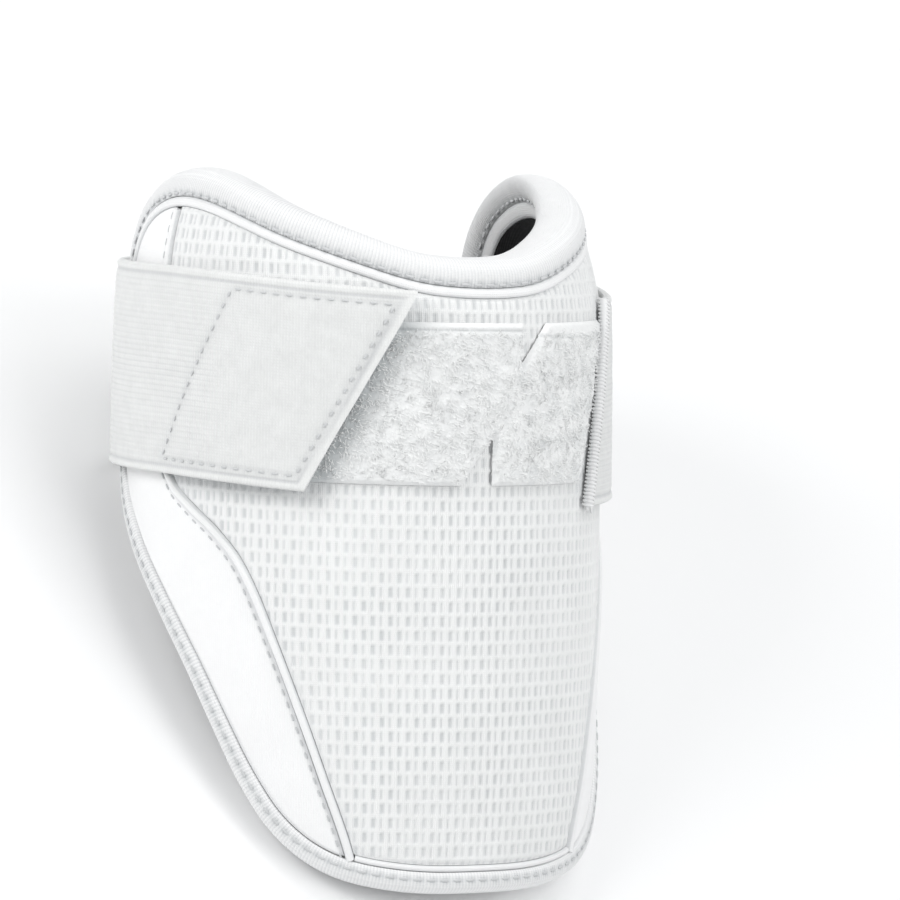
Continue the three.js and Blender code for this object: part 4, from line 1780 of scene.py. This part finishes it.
        def place(u: Array, rows: Array) -> Layout:
            """Points, flat places and hollows of the hook tape."""
            across = mix(trim, 1 - trim, rows[:, 0])
            turn = mix(path.middle(path.hook_start), end, u)
            turn = path.slanted(turn, across, (path.hook_start, path.end))
            off = path.lift(turn) - GAP - path.hook_thick + rows[:, 1] * path.hook_thick
            run, aside = turn * BODY.per_degree, (across - 0.5) * path.width
            return path.point(turn, across, off), pair(run, aside), 0 * run

        shares = np.linspace(0.1, 0.9, 17)
        rows = [(0.0, 0.5), (0.01, 1.0), *((share, 1.0) for share in shares), (0.99, 1.0),
                (1.0, 0.5), (0.99, 0.0), *((share, 0.0) for share in shares[::-1]), (0.01, 0.0)]
        cloth = tube("hook_tape_pad", self.hook_columns, np.array(rows), place)
        finish_piece(cloth.piece, Finish.HOOK, ["hook_tape"])

    def along_start(self, share: Array, aside: Array | float, off: Array | float) -> Array:
        """Points along the strap's raw start.

        Args:
            share: Share of the strap's width for each point.
            aside: Its distance from the start, round the body.
            off: Its distance over the body.

        Returns:
            The points, one row each.
        """
        turn = mix(STRAP_PATH.start.low, STRAP_PATH.start.high, share) * BODY.wrap
        height = STRAP_PATH.height(turn, share)
        return BODY.point(turn + aside / BODY.per_degree, height, off + 0 * share)

    def serging(self) -> None:
        """Makes the thread that is serged round the strap's raw start."""
        path, radius = STRAP_PATH, self.serge_thread
        middle, centre = -GAP - self.serge_width / 2, GAP + self.serge_thick / 2
        rise = math.hypot(path.width, path.lean(path.start) * BODY.per_degree)
        loops = int(rise / self.serge_pitch)
        share = np.linspace(0.004, 0.996, loops * self.serge_parts)
        swing = 2 * math.pi * loops * share
        widen = 0.75 + 0.5 * (1 - share)
        aside = middle + (self.serge_width / 2 - radius) * np.cos(swing) * widen
        off = centre + (self.serge_thick / 2 - radius) * np.sin(swing)
        thread = swept("serged_thread", [self.along_start(share, aside, off)], radius, 6)
        core = self.along_start(np.linspace(0.01, 0.99, self.core_parts), middle, centre)
        inner = swept("serged_edge", [core], self.serge_width * 0.42, 12)
        finish_piece(thread, Finish.SERGE, ["strap_overlock"])
        finish_piece(inner, Finish.TAPE)
        self.tail()

    def tail(self) -> None:
        """Makes the loose end of the serged thread below the strap."""
        path = STRAP_PATH
        curl = np.linspace(0, 1, self.tail_parts)
        swing = self.tail_swings * curl
        foot = path.start.low * BODY.wrap - self.serge_width / 2 / BODY.per_degree
        low = path.height(np.array([foot]), np.zeros(1))[0]
        run = self.tail_length * curl + self.tail_swing * np.sin(swing)
        high = low + self.tail_top - self.tail_drop * curl + self.tail_swing * np.cos(swing)
        off = np.full(len(curl), GAP + self.tail_rise)
        tail = BODY.point(foot + run / BODY.per_degree, high, off)
        piece = swept("serged_tail", [tail], self.serge_thread, 6)
        finish_piece(piece, Finish.SERGE)


@dataclass
class LoopPatch:
    """The loop patch that the strap's end sticks to, with its brushed pile."""

    height: float = 0.0386
    drop: float = 0.0013
    thick: float = 0.0014
    left: Slant = Slant(-0.494, -0.319)
    right: Slant = Slant(0.249, 0.365)
    backing: float = 0.0003
    columns: int = 190
    rows: int = 90
    loops: int = 5200
    loop_height: float = 0.0006
    loop_length: float = 1.3
    loop_thread: float = 0.00009
    loop_border: float = 0.0006
    border: float = 0.0009
    hem: float = 0.0018
    fold: float = 0.0003
    fold_depth: float = 0.0004
    clump: float = 0.00022
    tuft: float = 0.00016

    def spots(self, u: Array | float, v: Array | float) -> Array:
        """Flat places on the patch.

        Args:
            u: Share of the way from the left edge to the right one.
            v: Share of the way from the lower edge to the upper one.

        Returns:
            The flat places, one row each.
        """
        share = mix(mix(self.left.low, self.left.high, v),
                    mix(self.right.low, self.right.high, v), u)
        return pair(BODY.round_of(share), (v - 0.5) * self.height - self.drop)

    def outline(self) -> list[Array]:
        """Flat lines of the patch's outline without its notches."""
        return outlined([self.spots(u, v) for u, v in ((0, 0), (1, 0), (1, 1), (0, 1))])

    def notches(self) -> list[Array]:
        """Flat corners of each notch, its tip in the middle."""
        return [np.array([(BODY.round_of(share), rise * self.height - self.drop)
                          for share, rise in notch]) for notch in NOTCHES]

    def in_notch(self, spots: Array) -> tuple[Array, Array]:
        """Finds the spots that lie in a notch.

        Args:
            spots: Flat spots.

        Returns:
            Whether each lies in a notch, and the spots, with those moved to the notch's edge.
        """
        inside = np.zeros(len(spots), bool)
        moved = spots.copy()
        for corners in self.notches():
            sides = np.stack([np.cross(end - start, spots - start)
                              for start, end in outlined(corners)])
            here = (sides > 0).all(0) | (sides < 0).all(0)
            inside |= here
            first, second = (nearest_on(spots, *corners[k:k + 2]) for k in (0, 1))
            closer = line_distance(spots, [corners[:2]]) < line_distance(spots, [corners[1:]])
            moved[here] = np.where(closer[:, None], first, second)[here]
        return inside, moved

    def border_gap(self, spots: Array) -> Array:
        """Distance of flat spots from the nearest edge of the patch or of a notch."""
        notches = [corners[k:k + 2] for corners in self.notches() for k in (0, 1)]
        return line_distance(spots, [*self.outline(), *notches])

    def pile_height(self, spots: Array) -> Array:
        """Height of the pile's ground over the mesh."""
        return self.clump * ripple(*spots.T, 0.0032, 31) + self.tuft * ripple(*spots.T, 0.0014, 32)

    def build(self) -> None:
        """Makes the patch and its pile."""
        cloth = Cloth("loop_patch_pile", self.columns, self.rows)
        cut, spots = self.in_notch(self.spots(cloth.u, cloth.v))
        across, y = spots.T
        body = ease(self.border_gap(spots), 0.0, self.border)
        upper = self.height / 2 - self.drop - y
        turned = self.hem * (1 + 0.8 * ease(across, 0.008, 0.02))
        hem = 1 - ease(upper, turned * 0.85, turned * 1.15)
        pile = self.pile_height(spots) * body * (1 - hem)
        fold = bell(upper - turned, self.fold)
        off = GAP + self.thick * (0.25 + 0.75 * body) + pile - self.fold_depth * fold
        right = ease(across, 0.0, 0.02)
        dark = 0.06 + (0.08 + 0.22 * right) * ripple(across, y, 0.007, 33)
        dark = dark + 0.1 * right * ripple(across, y, 0.0016, 35)
        # Painted shadow beside the strap's ends and painted shade in the fold under the hem; the
        # uneven darkness of the pile is its own tone.
        shade = strap_painted_shadow(across, y)
        hollow = np.clip(dark * (1 - hem) + 0.4 * fold + 0.75 * shade, 0, 1)
        cloth.lay(BODY.on_flat(across, y, off), spots, hollow)
        cloth.keep_faces(~cut)
        size, area = cloth.cut()
        apply(cloth.piece, "SOLIDIFY", thickness=self.backing, offset=-1.0)
        smooth(cloth.piece, 80.0)
        finish_piece(cloth.piece, Finish.PILE, ["loop_patch"])
        loops = self.fuzz()
        finish_piece(loops, Finish.PILE)

    def fuzz(self) -> bpy.types.Object:
        """The small brushed loops that stand on the patch."""
        dice = np.random.default_rng(7)
        v = dice.uniform(0.02, 0.94, self.loops * 2)
        u = dice.uniform(0.015, 0.985, self.loops * 2)
        spots = self.spots(u, v)
        cut, _ = self.in_notch(spots)
        spots = spots[~cut & (self.border_gap(spots) > self.loop_border)][:self.loops]
        heading = 2.2 * ripple(*spots.T, 0.009, 34) + dice.normal(0, 0.7, len(spots))
        size = self.loop_height * dice.uniform(0.6, 1.25, len(spots))
        lean = pair(np.cos(heading), np.sin(heading)) * size[:, None] * self.loop_length
        ground = GAP + self.thick + self.pile_height(spots)
        lines = []
        for share, rise in ((0.0, -0.25), (0.35, 0.6), (0.85, 0.85), (1.35, 0.45)):
            lines.append(BODY.on_flat(*(spots + lean * share).T, ground + rise * size))
        return swept("pile_loops", list(np.stack(lines, 1)), self.loop_thread, 3)


@dataclass
class Stitching:
    """The stitches along the bindings, the seams, the strap and the patch."""

    binding: Thread = Thread(pitch=0.0034, length=0.0021, width=0.0007)
    seam: Thread = Thread(pitch=0.0031, length=0.0017, width=0.0005)
    strap: Thread = Thread(pitch=0.003, length=0.0014, width=0.0006)
    samples: int = 900
    upper_rise: float = 0.0008
    lower_rise: float = 0.0011
    wing_sink: float = 0.00005
    strap_rise: float = 0.00002
    beside_piping: float = 0.0011

    def build(self, strap: Strap, piping: SeamPiping) -> None:
        """Sews every row of stitches.

        Args:
            strap: The strap, which knows its own seams.
            piping: The piping that the wing seams follow.
        """
        self.bindings()
        self.wings(piping.line())
        rows = [(line, strap.face, self.strap_rise) for line in strap.tab_lines()]
        finish_piece(self.strap.sew("strap_stitches", rows), Finish.THREAD)

    def bindings(self) -> None:
        """Sews the rows along the feet of the two bindings, outside and inside."""
        tip, count = BODY.tip, BODY.outline_points

        def within(across: Array, y: Array, off: Array) -> Array:
            """Points over the inner face of the wall."""
            return BODY.on_flat(across, y, -BODY.wall_at(across) - off)

        spans = (("upper", -tip + 0.5, tip - 0.5, TRIM.top_binding, self.upper_rise),
                 ("lower", tip + 0.5, count - tip - 0.5, TRIM.lower_binding, self.lower_rise))
        for name, first, last, height, rise in spans:
            at = np.linspace(first, last, self.samples)
            line = BODY.inside(at, np.full(len(at), height - stitch_inset(height)))
            for side, place in (("binding", BODY.on_flat), ("inside", within)):
                piece = self.binding.sew(f"{name}_{side}_stitches", [(line, place, rise)])
                finish_piece(piece, Finish.THREAD)

    def wings(self, line: Array) -> None:
        """Sews the row beside each piping.

        Args:
            line: Flat line of the right piping.
        """
        row = beside(line, TRIM.piping / 2 + self.beside_piping)
        for side, name in ((-1, "left"), (1, "right")):
            rows = [(row * (side, 1), BODY.on_flat, -self.wing_sink)]
            finish_piece(self.seam.sew(f"{name}_wing_stitches", rows), Finish.THREAD)


@dataclass
class Studio:
    """The camera at the photograph's angle, the soft lights and the pale floor."""

    azimuth: float = 34.0
    elevation: float = 4.0
    roll: float = 2.5
    distance: float = 1.8
    aim: tuple[float, float, float] = (0.0, -0.0165, 0.0)
    metres_per_pixel: float = 0.000244
    picture: float = 900.0
    aim_pixel: float = 362.0
    sensor: float = 36.0
    world_strength: float = 0.55
    floor_size: float = 6.0
    floor_drop: float = 0.0003

    def axes(self) -> tuple[Vector, Vector, Vector]:
        """Right, up and backward directions of the view, as the guard lies."""
        a, e, r = (math.radians(value) for value in (self.azimuth, self.elevation, self.roll))
        back = np.array([-math.sin(a) * math.cos(e), math.sin(e), math.cos(a) * math.cos(e)])
        right = np.array([math.cos(a), 0, math.sin(a)])
        up = np.cross(back, right)
        turned = right * math.cos(r) + up * math.sin(r)
        risen = up * math.cos(r) - right * math.sin(r)
        turn, _ = BODY.laid
        return tuple(Vector(turn @ axis) for axis in (turned, risen, back))

    def build(self) -> None:
        """Makes the camera, the lights, the world and the floor."""
        right, up, back = self.axes()
        aim = Vector(BODY.to_row(np.array(self.aim)))
        camera = bpy.data.objects.new("camera", bpy.data.cameras.new("camera"))
        bpy.context.scene.collection.objects.link(camera)
        place = Matrix((right, up, back)).transposed().to_4x4()
        place.translation = aim + back * self.distance
        camera.matrix_world = place
        span = self.metres_per_pixel * self.picture
        camera.data.sensor_width = self.sensor
        camera.data.lens = self.sensor * self.distance / span
        camera.data.shift_x = 0.5 - self.aim_pixel / self.picture
        bpy.context.scene.camera = camera
        key = back * 0.8 - right * 0.6 + up * 0.55
        fill = back * 0.8 + right * 0.9 + up * 0.2
        top = Vector((0.4, 0.4, 1.0))
        self.light("key_light", aim, key, power=5.0, size=0.5)
        self.light("fill_light", aim, fill, power=4.0, size=0.8)
        self.light("top_light", aim, top, power=3.8, size=0.9)
        self.world()
        self.floor()
        bpy.context.scene.view_settings.view_transform = "Standard"

    def light(self, name: str, aim: Vector, away: Vector, power: float, size: float) -> None:
        """Adds a soft area light that faces a point.

        Args:
            name: Name of the light.
            aim: The point.
            away: Where the light stands, seen from the point.
            power: Its power in watts.
            size: Side of its square, in metres.
        """
        lamp = bpy.data.objects.new(name, bpy.data.lights.new(name, "AREA"))
        lamp.data.energy = power
        lamp.data.size = size
        lamp.location = aim + away
        lamp.rotation_mode = "QUATERNION"
        lamp.rotation_quaternion = away.to_track_quat("Z", "Y")
        bpy.context.scene.collection.objects.link(lamp)

    def world(self) -> None:
        """Makes the even light from all round."""
        world = bpy.data.worlds.new("studio")
        world.use_nodes = True
        background = world.node_tree.nodes["Background"]
        background.inputs["Color"].default_value = (0.97, 0.985, 1.0, 1.0)
        background.inputs["Strength"].default_value = self.world_strength
        bpy.context.scene.world = world

    def floor(self) -> None:
        """Makes the plain pale floor."""
        bpy.ops.object.select_all(action="DESELECT")
        bpy.ops.mesh.primitive_plane_add(size=self.floor_size, location=(0, 0, -self.floor_drop))
        floor = bpy.context.object
        floor.name = "floor"
        material = bpy.data.materials.new("pale_floor")
        material.use_nodes = True
        shader = material.node_tree.nodes["Principled BSDF"]
        shader.inputs["Base Color"].default_value = (0.95, 0.95, 0.95, 1)
        shader.inputs["Roughness"].default_value = 0.9
        floor.data.materials.append(material)
        floor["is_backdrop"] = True


def write_sizes() -> None:
    """Measures the box of the solids and that of the dressed guard."""
    boxes = {"cad": CAD_BOX, "visual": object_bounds()}
    plain = {name: [list(corner) for corner in box] for name, box in boxes.items()}


def main() -> None:
    """Builds the guard and its stage."""
    logging.basicConfig(level=logging.INFO, format="%(message)s")
    strap, piping = Strap(), SeamPiping()
    Studio().build()
    MeshFace().build()
    Wings().build()
    InsideLayers().build()
    Edging().build()
    piping.build()
    LoopPatch().build()
    strap.build()
    Stitching().build(strap, piping)
    write_sizes()


if __name__ == "__main__":
    main()
